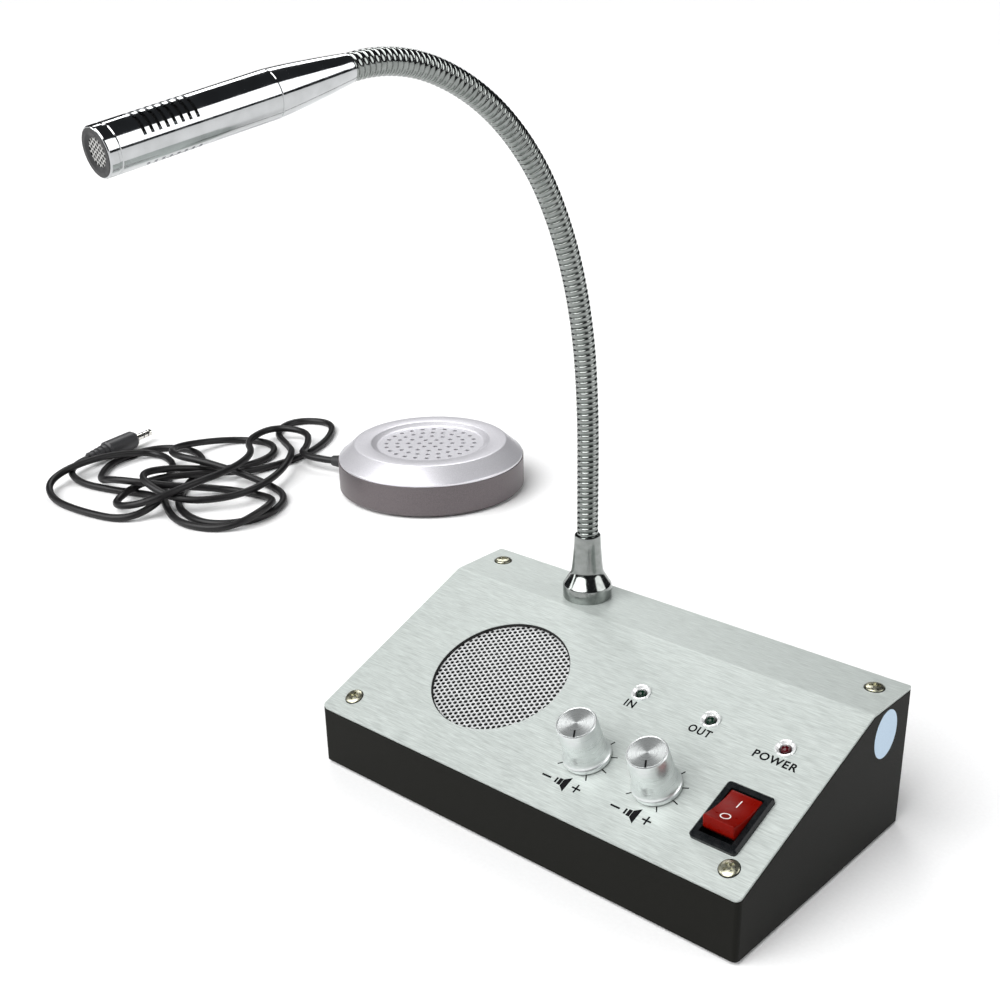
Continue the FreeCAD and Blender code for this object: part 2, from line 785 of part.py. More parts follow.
# Gooseneck flange, clamped through the panel by a nut
def make_flange():
    base = strip_top
    bore = neck_diameter / 2 + running_gap
    through = neck_bore / 2
    rim = flange_diameter / 2
    seat = base + flange_height - neck_sink - neck_tail
    stud = flange_stud / 2
    low = strip_top - panel_thickness - flange_stud_length
    cone_top = base + flange_band + flange_cone_height
    profile = [(through, low), (stud, low), (stud, base), (rim, base), (rim, base + flange_band),
               (flange_cone_top / 2, cone_top), (flange_collar_top / 2, base + flange_height),
               (bore, base + flange_height), (bore, seat), (through, seat)]
    return at(turned(profile), Vector(neck_x, neck_y, 0))


def make_flange_nut():
    low = strip_top - panel_thickness - flange_nut_height
    bar = at(hexagon_bar(flange_nut, flange_nut_height), Vector(neck_x, neck_y, low))
    bore = rod(flange_stud + 2 * running_gap, Vector(neck_x, neck_y, low - overrun),
               Vector(neck_x, neck_y, low + flange_nut_height + overrun))
    return bar.cut(bore)


# Gooseneck: ribbed links, each an arc of the neck's bend, on ball joints
link_length = neck_length / neck_links
link_bends = [math.radians(neck_total_bend) * share for share in neck_bend_shares]
neck_turn = Rotation(Vector(0, 0, 1), neck_plane_turn).multiply(Rotation(Vector(0, 0, 1), -90))


def link_frame(bend, run):
    """Place of a point on a link's arc, from its start, bending towards its own X."""
    angle = bend * run / link_length
    if not bend:
        place = Vector(0, 0, run)
    else:
        radius = link_length / bend
        place = Vector(radius * (1 - math.cos(angle)), 0, radius * math.sin(angle))
    return Placement(place, Rotation(Vector(0, 1, 0), math.degrees(angle)))


def neck_frames():
    """Frame at the start of every link, and at the microphone."""
    start = strip_top + flange_height - neck_sink
    frames = [Placement(Vector(neck_x, neck_y, start), neck_turn)]
    for bend in link_bends:
        frames.append(frames[-1].multiply(link_frame(bend, link_length)))
    return frames


def ring_wire(radius, frame):
    circle = Part.makeCircle(radius, Vector(0, 0, 0), Vector(0, 0, 1))
    wire = Part.Wire(circle)
    wire.Placement = frame
    return wire


def make_link(index):
    bend = link_bends[index]
    first = index == 0
    last = index == neck_links - 1
    end_run = link_length if last else link_length - ball_shoulder_gap
    rib_count = max(1, round(end_run / neck_rib_pitch))
    pitch = end_run / rib_count
    crest = neck_diameter / 2
    valley = neck_valley / 2
    wires = []
    for rib in range(rib_count):
        wires.append(ring_wire(valley, link_frame(bend, rib * pitch)))
        wires.append(ring_wire(crest, link_frame(bend, (rib + 0.5) * pitch)))
    wires.append(ring_wire(valley, link_frame(bend, end_run)))
    hose = Part.makeLoft(wires, True, True)
    if not last:
        end = link_frame(bend, link_length)
        ball = Part.makeSphere(ball_diameter / 2)
        ball.Placement = end
        cap = Part.makeCylinder(ball_diameter / 2 + overrun, ball_diameter, Vector(0, 0, 0), Vector(0, 0, 1))
        cap.Placement = link_frame(bend, end_run - running_gap)
        hose = hose.fuse(ball.common(cap))
    if first:
        tail = neck_tail - running_gap
        hose = hose.fuse(rod(neck_diameter, Vector(0, 0, -tail), Vector(0, 0, 0)))
    else:
        socket = Part.makeSphere(ball_diameter / 2 + 2 * running_gap)
        hose = hose.cut(socket)
    start = -neck_tail - overrun if first else -overrun
    spine = [Part.makeLine(Vector(0, 0, start), Vector(0, 0, 0))]
    if not bend:
        spine.append(Part.makeLine(Vector(0, 0, 0), Vector(0, 0, link_length)))
    else:
        points = [link_frame(bend, link_length * share).Base for share in (0, 0.5, 1)]
        spine.append(Part.Arc(points[0], points[1], points[2]).toShape())
    end_frame = link_frame(bend, link_length)
    along = end_frame.Rotation.multVec(Vector(0, 0, 1))
    spine.append(Part.makeLine(end_frame.Base, end_frame.Base + along * (ball_diameter / 2 + overrun)))
    section = Part.Wire(Part.makeCircle(neck_bore / 2, Vector(0, 0, start), Vector(0, 0, 1)))
    bore = Part.Wire(spine).makePipeShell([section], True, False)
    return hose.cut(bore)


# Microphone: tapered tail, slotted barrel, end mesh and capsule, along its own Z
def make_mic_taper():
    outer = mic_diameter / 2
    small = mic_taper_end / 2
    inner = mic_spigot / 2 - mic_wall
    length = mic_taper_length
    outward, along = mic_taper_bulge_shares
    bulge = Vector(small + (outer - small) * outward, 0, length * along)
    start = Vector(small, 0, mic_tail)
    end = Vector(outer, 0, length)
    spigot_top = length + mic_spigot_length
    bore = neck_bore / 2
    corners = [end, Vector(mic_spigot / 2 - running_gap, 0, length),
               Vector(mic_spigot / 2 - running_gap, 0, spigot_top), Vector(inner, 0, spigot_top),
               Vector(inner, 0, length), Vector(bore, 0, length / 2), Vector(bore, 0, 0),
               Vector(small - mic_wall / 2, 0, 0), start]
    edges = [Part.Arc(start, bulge, end).toShape()]
    edges += [Part.makeLine(a, b) for a, b in zip(corners[:-1], corners[1:])]
    return Part.Face(Part.Wire(edges)).revolve(Vector(0, 0, 0), Vector(0, 0, 1), 360)


def make_mic_barrel():
    low = mic_taper_length
    high = low + mic_barrel_length
    outer = mic_diameter / 2
    inner = mic_spigot / 2
    lip = mic_mesh_diameter / 2 - mic_wall
    groove = high - 3 * mic_wall
    profile = [(inner, low), (outer - mic_groove, low), (outer, low + mic_groove),
               (outer, groove - mic_groove), (outer - mic_groove, groove), (outer, groove + mic_groove),
               (outer, high - mic_groove), (outer - mic_groove, high), (mic_mesh_diameter / 2, high),
               (mic_mesh_diameter / 2, high - mic_mesh_setback - mic_mesh_thickness),
               (lip, high - mic_mesh_setback - mic_mesh_thickness),
               (lip, high - mic_mesh_setback - mic_mesh_thickness - mic_wall),
               (inner, high - mic_mesh_setback - mic_mesh_thickness - 2 * mic_wall)]
    barrel = turned(profile)
    half = math.radians(mic_slot_arc / 2)
    reach = mic_diameter
    wedge_face = Part.Face(Part.makePolygon([Vector(0, 0, 0),
                                             Vector(-reach * math.cos(half), -reach * math.sin(half), 0),
                                             Vector(-2 * reach, 0, 0),
                                             Vector(-reach * math.cos(half), reach * math.sin(half), 0),
                                             Vector(0, 0, 0)]))
    slot = wedge_face.extrude(Vector(0, 0, mic_slot_width))
    slots = []
    for index in range(mic_slot_count):
        height = high - mic_slot_start - index * mic_slot_pitch
        for turn in (0, 180):
            slots.append(at(slot, Vector(0, 0, height), Rotation(Vector(0, 0, 1), turn)))
    return barrel.cut(slots)


def make_mic_mesh():
    high = mic_taper_length + mic_barrel_length - mic_mesh_setback
    disc = rod(mic_mesh_diameter - 2 * running_gap, Vector(0, 0, high - mic_mesh_thickness),
               Vector(0, 0, high))
    hole = hexagon_bar(mic_mesh_hole, mic_mesh_thickness + 2 * overrun)
    holes = [at(hole, centre + Vector(0, 0, high - mic_mesh_thickness - overrun))
             for centre in honeycomb(mic_mesh_rings, mic_mesh_pitch)]
    return disc.cut(holes)


def make_mic_capsule():
    top = mic_taper_length + mic_barrel_length - mic_mesh_setback - mic_mesh_thickness - 2 * mic_wall
    return rod(mic_capsule_diameter, Vector(0, 0, top - mic_capsule_length), Vector(0, 0, top))


# Window speaker: weighted base, perforated lid, driver and microphone capsule
puck_place = Placement(Vector(puck_x, puck_y, 0), Rotation(Vector(0, 0, 1), puck_turn))
puck_lid_seat = puck_pad_height + puck_base_height
puck_top = puck_pad_height + puck_height


def on_puck(shape):
    moved = shape.copy()
    moved.Placement = puck_place.multiply(moved.Placement)
    return moved


def polar(radius, angle, height=0.0):
    return Vector(radius * math.cos(math.radians(angle)), radius * math.sin(math.radians(angle)), height)


puck_post_angles = [90, 210, 330]


def make_puck_base():
    radius = puck_diameter / 2
    low = puck_pad_height
    draft = puck_wall / 2
    tongue = puck_lid_diameter / 2 - puck_wall
    inside = radius - 2 * puck_wall
    profile = [(0, low), (radius - draft, low), (radius, low + draft), (radius, puck_lid_seat - draft),
               (tongue, puck_lid_seat - draft), (tongue, puck_lid_seat), (inside, puck_lid_seat),
               (inside, low + puck_wall), (0, low + puck_wall)]
    tub = turned(profile)
    posts = [rod(puck_post_diameter, polar(puck_post_radius, a, low),
                 polar(puck_post_radius, a, puck_lid_seat)) for a in puck_post_angles]
    exit_way = polar(1, gland_angle)
    side = Vector(0, 0, gland_height + puck_pad_height)
    gland_hole = rod(gland_diameter, side + exit_way * inside, side + exit_way * (radius + overrun))
    collar_start = inside - gland_collar_length - loose_gap
    collar_room = rod(gland_collar + 2 * running_gap, side + exit_way * collar_start,
                      side + exit_way * inside)
    holes = [rod(puck_screw_shank, polar(puck_post_radius, a, low + puck_screw_head_height),
                 polar(puck_post_radius, a, puck_lid_seat + overrun)) for a in puck_post_angles]
    heads = [rod(puck_screw_head, polar(puck_post_radius, a, low - overrun),
                 polar(puck_post_radius, a, low + puck_screw_head_height)) for a in puck_post_angles]
    seat = rod(puck_magnet_diameter + 2 * running_gap, Vector(0, 0, low + puck_wall / 2),
               Vector(0, 0, puck_lid_seat))
    return on_puck(tub.fuse(posts).cut(holes + heads + [gland_hole, collar_room, seat]))


def make_puck_lid():
    rim = puck_lid_diameter / 2
    rim_top = puck_lid_seat + puck_rim_height
    ring = puck_ring_diameter / 2
    recess = puck_recess_diameter / 2
    floor_radius = puck_recess_floor / 2
    floor = puck_top - puck_recess_depth
    wall = puck_wall
    low = puck_lid_seat - wall / 2
    profile = [(rim - wall + running_gap, low), (rim, low), (rim, rim_top), (ring, puck_top),
               (recess, puck_top), (floor_radius, floor), (0, floor), (0, floor - wall),
               (floor_radius + wall / 2, floor - wall), (ring - wall / 2, puck_top - puck_bevel_wall),
               (rim - wall + running_gap, puck_lid_seat)]
    lid = turned(profile)
    hole = hexagon_bar(puck_hole, wall + 2 * overrun)
    holes = []
    for ring_index, count in enumerate(puck_hole_counts):
        for step in range(count):
            place = polar(ring_index * puck_hole_ring_step, 360 * step / count, floor - wall - overrun)
            holes.append(at(hole, place, Rotation(Vector(0, 0, 1), 360 * step / count)))
    reach = Vector(0, (puck_mic_hole_length - puck_mic_hole_width) / 2, 0)
    oval = solid_box(puck_mic_hole_width, 2 * reach.y, 4 * wall, Vector(0, 0, 0))
    oval = oval.fuse([rod(puck_mic_hole_width, end + Vector(0, 0, -2 * wall), end + Vector(0, 0, 2 * wall))
                      for end in (reach, -reach)])
    holes.append(at(oval, polar(puck_mic_radius, puck_mic_angle, (rim_top + puck_top) / 2),
                    Rotation(Vector(0, 0, 1), puck_mic_angle)))
    posts = [rod(puck_post_diameter, polar(puck_post_radius, a, puck_lid_seat),
                 polar(puck_post_radius, a, puck_top)) for a in puck_post_angles]
    outside = turned([(0, puck_lid_seat), (rim, puck_lid_seat), (ring, puck_top - puck_skin),
                      (recess, puck_top - puck_skin),
                      (floor_radius, floor - puck_skin), (0, floor - puck_skin)])
    pilots = [rod(puck_screw_shank, polar(puck_post_radius, a, puck_lid_seat - overrun),
                  polar(puck_post_radius, a, puck_lid_seat + puck_pilot_depth)) for a in puck_post_angles]
    lid = lid.cut(holes).fuse([post.common(outside) for post in posts])
    return on_puck(lid.cut(pilots))


def make_puck_screws():
    low = puck_pad_height
    shank = puck_screw_shank / 2 - running_gap
    head = puck_screw_head / 2 - running_gap
    top = puck_lid_seat + puck_pilot_depth - running_gap
    profile = [(0, low), (head, low), (head, low + puck_screw_head_height),
               (shank, low + puck_screw_head_height), (shank, top), (0, top)]
    screw = turned(profile)
    return [on_puck(at(screw, polar(puck_post_radius, a))) for a in puck_post_angles]


def make_puck_pad():
    pad = rod(puck_pad_diameter, Vector(0, 0, 0), Vector(0, 0, puck_pad_height))
    return on_puck(pad)


def make_puck_driver():
    top = puck_top - puck_recess_depth - puck_wall
    neck = puck_magnet_diameter / 2
    rim = puck_driver_diameter / 2
    edge = top - puck_wall / 2
    low = top - puck_driver_height
    dish = puck_wall / 2
    profile = [(rim, edge), (neck, low), (0, low), (0, low + dish), (neck / 2, low + dish),
               (rim - 2 * dish, edge + dish / 2), (rim - 2 * dish, top), (rim, top)]
    return on_puck(turned(profile))


def make_puck_magnet():
    top = puck_top - puck_recess_depth - puck_wall - puck_driver_height
    low = puck_pad_height + puck_wall / 2
    return on_puck(rod(puck_magnet_diameter, Vector(0, 0, low), Vector(0, 0, top)))


def make_puck_capsule():
    top = puck_lid_seat + puck_capsule_rise
    place = polar(puck_mic_radius - puck_capsule_inset, puck_mic_angle)
    return on_puck(rod(puck_capsule_diameter, place + Vector(0, 0, top - puck_capsule_height),
                       place + Vector(0, 0, top)))


# Strain relief of the cord at the window speaker
def make_gland():
    radius = puck_diameter / 2
    centre = Vector(0, 0, gland_height + puck_pad_height)
    way = polar(1, gland_angle)
    inner = radius - 2 * puck_wall
    root = gland_diameter / 2 - running_gap
    tip = gland_tip / 2
    profile = [(0, -gland_collar_length), (gland_collar / 2, -gland_collar_length),
               (gland_collar / 2, 0), (root, 0), (root, 2 * puck_wall),
               (root, 2 * puck_wall + gland_collar_length / 2), (tip, gland_length), (0, gland_length)]
    body = turned(profile)
    aim = Rotation(Vector(0, 0, 1), way)
    return on_puck(at(body, centre + way * inner, aim))


# Window speaker's cord, end to end, in the window speaker's own frame: from the
# plug's boot, through its loose loops on the counter, to the strain relief
cord_diameter = 3.5
cord_sides = 6
cord_route = [
    (-179, 30, 4.7), (-186, 16.5, 4.7), (-177, 2, 1.8), (-156, -9, 1.8), (-136, -15, 1.8), (-124, -34, 6.5),
    (-138, -49, 1.8), (-162, -38, 1.8), (-184, -20, 1.8), (-190, 0, 5.5), (-172, 24, 8), (-151, 48, 1.8),
    (-134, 30, 1.8), (-133, 1, 1.8), (-127, -26, 1.8), (-113, -54, 1.8), (-88, -61, 1.8), (-70, -42, 7.5),
    (-77, -19, 1.8), (-100, -8, 1.8), (-126, -17, 7), (-152, -18, 11), (-167, 3, 2.5), (-169, 32, 1.8),
    (-151, 55, 1.8), (-128, 50, 1.8), (-117, 24, 1.8), (-122, -6, 1.8), (-119, -34, 1.8), (-99, -56, 1.8),
    (-74, -47, 1.8), (-67, -20, 1.8), (-83, 1, 1.8), (-109, 7, 9.5), (-134, 17, 11), (-136, 42, 7),
    (-114, 67, 1.8), (-89, 61, 1.8), (-85, 37, 1.8), (-104, 18, 1.8), (-131, 2, 9.5), (-141, -21, 14),
    (-117, -38, 6.5), (-89, -28, 5.5), (-75, -2, 6.5), (-73, 28, 7.5), (-80, 54, 1.8), (-92, 78, 1.8),
    (-84, 98, 1.8), (-62, 94, 1.8), (-60, 66, 1.8), (-69, 39, 1.8), (-90, 17, 1.8), (-116, 4, 5.5),
    (-140, -8, 7), (-152, -31, 2.5), (-133, -46, 8), (-110, -30, 13), (-97, -3, 10.5), (-93, 26, 8),
    (-102, 52, 6), (-92, 74, 6), (-72, 68, 5.5), (-68, 46, 5.5), (-70.1, 25.5, 6.4), (-51.3, 18.7, 6.4)]
corner_share = 0.45


def cord_path(points):
    """Straight runs joined by tangent arcs, with each arc's radius printed."""
    edges = []
    last = points[0]
    radii = []
    for before, corner, after in zip(points[:-2], points[1:-1], points[2:]):
        towards = (before - corner).normalize()
        away = (after - corner).normalize()
        reach = corner_share * min((corner - before).Length, (after - corner).Length)
        start = corner + towards * reach
        end = corner + away * reach
        half_turn = (math.pi - towards.getAngle(away)) / 2
        radius = reach / math.tan(half_turn)
        radii.append(radius)
        inward = (towards + away).normalize()
        centre = corner + inward * (radius / math.cos(half_turn))
        middle = centre - inward * radius
        edges.append(Part.makeLine(last, start))
        edges.append(Part.Arc(start, middle, end).toShape())
        last = end
    edges.append(Part.makeLine(last, points[-1]))
    print("cord radii", " ".join("%.0f" % radius for radius in radii))
    return Part.Wire(edges)


def make_cord():
    points = [Vector(*place) for place in cord_route]
    path = cord_path(points)
    way = (points[1] - points[0]).normalize()
    reach = cord_diameter / 2
    aim = Rotation(Vector(0, 0, 1), way)
    corners = [points[0] + aim.multVec(polar(reach, 360 * (k + 0.5) / cord_sides))
               for k in range(cord_sides)]
    section = Part.makePolygon(corners + [corners[0]])
    tube = path.makePipeShell([section], True, False)
    area = cord_sides / 2 * reach ** 2 * math.sin(2 * math.pi / cord_sides)
    share = tube.Volume / area / path.Length
    print("cord length %.0f, volume over section times length %.4f" % (path.Length, share))
    return on_puck(tube)


# Plug on the cord's end: boot, moulded grip and a three-contact shaft
def plug_place():
    """The plug lies level on the counter, its axis along the cord's first run."""
    first = Vector(*cord_route[0])
    second = Vector(*cord_route[1])
    way = Vector(first.x - second.x, first.y - second.y, 0).normalize()
    return puck_place.multiply(Placement(first, Rotation(Vector(0, 0, 1), way)))


def on_plug(shape):
    moved = shape.copy()
    moved.Placement = plug_place().multiply(moved.Placement)
    return moved


plug_shaft_start = plug_boot_length + plug_body_length


def make_plug_boot():
    tip = plug_boot_end / 2
    root = plug_body_diameter / 2 - plug_collar_step
    pitch = plug_boot_length / plug_boot_ribs
    rib_share, step_share = plug_boot_shares
    profile = [(0, 0), (tip, 0)]
    for step in range(plug_boot_ribs):
        radius = tip + (root - tip) * step / plug_boot_ribs
        groove = radius - plug_collar_step / 2
        profile += [(radius, (step + rib_share) * pitch), (groove, (step + step_share) * pitch),
                    (groove, (step + 1) * pitch)]
        if step < plug_boot_ribs - 1:
            profile.append((tip + (root - tip) * (step + 1) / plug_boot_ribs, (step + 1) * pitch))
    profile.append((0, plug_boot_length))
    return on_plug(turned(profile))


def make_plug_body():
    radius = plug_body_diameter / 2
    low = plug_boot_length
    high = plug_shaft_start
    profile = [(0, low), (radius - plug_collar_step, low), (radius, low + plug_collar_step),
               (radius, high - plug_collar_step * 2), (radius - plug_collar_step, high), (0, high)]
    return on_plug(turned(profile))


def make_plug_contacts():
    """Sleeve, ring and tip, each a metal solid between the insulating bands."""
    radius = plug_shaft / 2
    start = plug_shaft_start
    end = start + plug_shaft_length
    tip_start = end - plug_tip_length
    ring_start = tip_start - plug_ring_pitch
    sleeve_end = ring_start - plug_ring_width
    sleeve = rod(plug_shaft, Vector(0, 0, start), Vector(0, 0, sleeve_end))
    ring = rod(plug_shaft, Vector(0, 0, ring_start), Vector(0, 0, tip_start - plug_ring_width))
    neck = plug_neck / 2
    waist_share, shoulder_share = plug_tip_shares
    tip = turned([(0, tip_start), (radius, tip_start), (radius, tip_start + plug_ring_width),
                  (neck, tip_start + plug_tip_length * waist_share),
                  (radius, tip_start + plug_tip_length * shoulder_share),
                  (radius * waist_share, end), (0, end)])
    return [on_plug(piece) for piece in (sleeve, ring, tip)]


def make_plug_insulators():
    start = plug_shaft_start
    tip_start = start + plug_shaft_length - plug_tip_length
    ring_start = tip_start - plug_ring_pitch
    bands = [rod(plug_shaft - running_gap, Vector(0, 0, low), Vector(0, 0, low + plug_ring_width))
             for low in (ring_start - plug_ring_width, tip_start - plug_ring_width)]
    return [on_plug(band) for band in bands]


# The whole assembly
save("base_housing", make_housing())
save_group("rubber_feet", make_feet())
save("top_panel", make_panel())
save_group("panel_screws", make_panel_screws())

save("speaker_mesh", make_mesh())
save("speaker_basket", make_basket())
save("speaker_cone", make_cone())
save("speaker_magnet", make_magnet())

lamp_names = ["in", "out", "power"]
for name, across in zip(lamp_names, column_places):
    save("lamp_bezel_" + name, on_slope(make_lamp_bezel(), across, lamp_row))
    save("lamp_" + name, on_slope(make_lamp(), across, lamp_row))

for name, across in zip(["left", "right"], column_places):
    save("volume_pot_" + name, on_slope(make_pot(), across, control_row))
    save("pot_nut_" + name, on_slope(make_pot_nut(), across, control_row))
    save("volume_shaft_" + name, on_slope(make_shaft(), across, control_row))
    save("volume_knob_" + name, on_slope(make_knob(), across, control_row))

save("switch_case", on_slope(make_switch_case(), column_places[2], control_row))
save("power_rocker", make_rocker())

save("circuit_board", make_board())
save_group("board_screws", make_board_screws())
save_group("board_components", make_components())
save("speaker_jack", make_jack())
save("power_inlet", make_power_inlet())

save("neck_flange", make_flange())
save("neck_nut", make_flange_nut())
frames = neck_frames()
for index in range(neck_links):
    link = make_link(index)
    link.Placement = frames[index].multiply(link.Placement)
    save("neck_link_%d" % (index + 1), link)

mic_pieces = {"mic_taper": make_mic_taper(), "mic_barrel": make_mic_barrel(),
              "mic_mesh": make_mic_mesh(), "mic_capsule": make_mic_capsule()}
for name, piece in mic_pieces.items():
    piece.Placement = frames[-1].multiply(piece.Placement)
    save(name, piece)

save("puck_base", make_puck_base())
save("puck_lid", make_puck_lid())
save_group("puck_screws", make_puck_screws())
save("puck_pad", make_puck_pad())
save("puck_driver", make_puck_driver())
save("puck_magnet", make_puck_magnet())
save("puck_capsule", make_puck_capsule())
save("cord_gland", make_gland())
save("window_cord", make_cord())
save("plug_boot", make_plug_boot())
save("plug_body", make_plug_body())
save_group("plug_contacts", make_plug_contacts())
save_group("plug_insulators", make_plug_insulators())

# Joint axes, for the record
print("slope angle %.3f" % slope_angle)
for name, across in zip(["left", "right"], column_places):
    print("knob", name, slope_point(across, control_row, panel_thickness))
print("rocker pin", slope_point(column_places[2], control_row, panel_thickness + rocker_axis_height))
for index, frame in enumerate(frames):
    print("neck joint", index, frame.Base, "along", frame.Rotation.multVec(Vector(0, 0, 1)))
    print("pitch axis", frame.Rotation.multVec(Vector(0, 1, 0)),
          "side axis", frame.Rotation.multVec(Vector(1, 0, 0)))
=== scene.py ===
import bpy
import math
from mathutils import Matrix, Vector


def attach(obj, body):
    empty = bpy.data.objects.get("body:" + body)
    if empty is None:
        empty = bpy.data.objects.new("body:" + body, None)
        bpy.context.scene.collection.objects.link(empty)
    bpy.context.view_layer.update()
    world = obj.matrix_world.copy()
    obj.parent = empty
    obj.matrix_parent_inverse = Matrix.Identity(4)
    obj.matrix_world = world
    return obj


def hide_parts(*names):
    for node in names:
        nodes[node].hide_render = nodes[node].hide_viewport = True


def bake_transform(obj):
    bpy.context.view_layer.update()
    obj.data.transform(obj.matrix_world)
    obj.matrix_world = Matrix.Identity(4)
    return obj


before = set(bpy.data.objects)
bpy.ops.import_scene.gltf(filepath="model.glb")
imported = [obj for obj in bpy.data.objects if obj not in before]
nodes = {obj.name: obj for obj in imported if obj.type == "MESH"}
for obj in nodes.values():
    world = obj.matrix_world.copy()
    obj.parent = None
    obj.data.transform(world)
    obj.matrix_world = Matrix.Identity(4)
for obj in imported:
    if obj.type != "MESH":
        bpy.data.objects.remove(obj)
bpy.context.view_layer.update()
mm = 0.001


# The photographer's camera
# Hand-held height, a short telephoto, looking down on the counter from the front
# right. The small shift keeps the microphone in the frame without tipping the camera.
camera_data = bpy.data.cameras.new("photograph")
camera_data.lens = 51.602
camera_data.sensor_width = 36.0
camera_data.shift_y = 0.102
camera_data.clip_start = 0.01
camera_data.clip_end = 60.0
camera = bpy.data.objects.new("photograph", camera_data)
bpy.context.scene.collection.objects.link(camera)
turn_round = Matrix.Rotation(math.radians(42.46), 4, "Z")
look_down = Matrix.Rotation(math.radians(90 - 25.43), 4, "X")
roll = Matrix.Rotation(math.radians(-1.34), 4, "Z")
stand = Matrix.Translation((0.23734, -0.30421, 0.24983))
camera.matrix_world = stand @ turn_round @ look_down @ roll
bpy.context.scene.camera = camera


# Counter top and studio light
# A plain white sheet runs under the parts and out of the picture. Daylight comes from a
# wide window in front and a smaller one at the right rear, with a soft panel on the left
# and one behind, in a dark room.
def new_material(name, colour, roughness, metallic=0.0):
    """Material with its Principled shader, whose own sockets hold what is the same all over."""
    material = bpy.data.materials.new(name)
    material.use_nodes = True
    shader = material.node_tree.nodes["Principled BSDF"]
    shader.inputs["Base Color"].default_value = (*colour, 1.0)
    shader.inputs["Roughness"].default_value = roughness
    shader.inputs["Metallic"].default_value = metallic
    return material, shader


def new_node(tree, kind, **settings):
    """Node with some of its sockets set by name."""
    node = tree.nodes.new(kind)
    for name, value in settings.items():
        node.inputs[name.replace("_", " ")].default_value = value
    return node


def new_effect(name, inputs, outputs):
    """Node group with named inputs and outputs, for an effect that several finishes share."""
    effect = bpy.data.node_groups.new(name, "ShaderNodeTree")
    for label, value in inputs.items():
        socket = effect.interface.new_socket(label, in_out="INPUT", socket_type="NodeSocketFloat")
        socket.default_value = value
    for label, kind in outputs.items():
        effect.interface.new_socket(label, in_out="OUTPUT", socket_type=kind)
    return effect, effect.nodes.new("NodeGroupInput"), effect.nodes.new("NodeGroupOutput")


# Fine grain: uneven gloss and a shallow relief, as on moulded, painted or handled surfaces
surface_sockets = {"Mask": "NodeSocketFloat", "Roughness": "NodeSocketFloat", "Normal": "NodeSocketVector"}
fine_grain, group_in, group_out = new_effect(
    "fine_grain", {"Scale": 1000.0, "Smooth": 0.3, "Rough": 0.5, "Depth": 0.00001}, surface_sockets)
place = fine_grain.nodes.new("ShaderNodeTexCoord")
noise = new_node(fine_grain, "ShaderNodeTexNoise", Detail=3.0)
spread = new_node(fine_grain, "ShaderNodeMapRange", From_Min=0.3, From_Max=0.7)
relief = new_node(fine_grain, "ShaderNodeBump", Strength=1.0)
for source, target in ((place.outputs["Object"], noise.inputs["Vector"]),
                       (group_in.outputs["Scale"], noise.inputs["Scale"]),
                       (noise.outputs["Fac"], spread.inputs["Value"]),
                       (group_in.outputs["Smooth"], spread.inputs["To Min"]),
                       (group_in.outputs["Rough"], spread.inputs["To Max"]),
                       (noise.outputs["Fac"], relief.inputs["Height"]),
                       (group_in.outputs["Depth"], relief.inputs["Distance"]),
                       (noise.outputs["Fac"], group_out.inputs["Mask"]),
                       (spread.outputs["Result"], group_out.inputs["Roughness"]),
                       (relief.outputs["Normal"], group_out.inputs["Normal"])):
    fine_grain.links.new(source, target)


def two_tone(tree, value, dark, pale, start=0.3, end=0.7):
    """Colour between two tones, chosen by a mask."""
    spread = new_node(tree, "ShaderNodeMapRange", From_Min=start, From_Max=end)
    node = tree.nodes.new("ShaderNodeMix")
    node.data_type = "RGBA"
    node.inputs["A"].default_value = (*dark, 1.0)
    node.inputs["B"].default_value = (*pale, 1.0)
    tree.links.new(value, spread.inputs["Value"])
    tree.links.new(spread.outputs["Result"], node.inputs["Factor"])
    return node.outputs["Result"]


def with_effect(material, shader, effect, dark, pale, **values):
    """Put a shared effect in a material: its gloss, its relief and two tones of colour."""
    tree = material.node_tree
    node = tree.nodes.new("ShaderNodeGroup")
    node.node_tree = effect
    for label, value in values.items():
        node.inputs[label].default_value = value
    tree.links.new(node.outputs["Roughness"], shader.inputs["Roughness"])
    tree.links.new(node.outputs["Normal"], shader.inputs["Normal"])
    tree.links.new(two_tone(tree, node.outputs["Mask"], dark, pale), shader.inputs["Base Color"])


def grained(name, colour, roughness, dark, pale, metallic=0.0, sockets=None, **values):
    """Material with fine grain in two tones; sockets holds what else is the same all over."""
    material, shader = new_material(name, colour, roughness, metallic)
    with_effect(material, shader, fine_grain, dark, pale, **values)
    for label, value in (sockets or {}).items():
        shader.inputs[label].default_value = value
    return material


def dress(name, material):
    """Give a CAD node its finish."""
    data = nodes[name].data
    data.materials.clear()
    data.materials.append(material)


counter_paper = grained(
    "counter_paper", (0.90, 0.90, 0.90), 0.8, (0.90, 0.90, 0.90), (0.93, 0.93, 0.93),
    Scale=900.0, Smooth=0.75, Rough=0.85, sockets={"Specular IOR Level": 0.1})
bpy.ops.object.select_all(action="DESELECT")
bpy.ops.mesh.primitive_plane_add(size=16, location=(-2, 3, 0))
counter = bpy.context.active_object
counter.name = "counter_top"
counter.data.materials.append(counter_paper)
bpy.context.scene.view_settings.view_transform = "Standard"

world = bpy.data.worlds.new("studio")
world.use_nodes = True
world.node_tree.nodes["Background"].inputs["Color"].default_value = (0.85, 0.92, 1.0, 1.0)
world.node_tree.nodes["Background"].inputs["Strength"].default_value = 0.03
bpy.context.scene.world = world


def soft_panel(name, place, aim, width, height, power):
    """Soft light panel facing a point."""
    light_data = bpy.data.lights.new(name, "AREA")
    light_data.shape = "RECTANGLE"
    light_data.size = width
    light_data.size_y = height
    light_data.energy = power
    light = bpy.data.objects.new(name, light_data)
    bpy.context.scene.collection.objects.link(light)
    light.location = place
    light.rotation_mode = "QUATERNION"
    light.rotation_quaternion = (Vector(aim) - Vector(place)).to_track_quat("-Z", "Y")


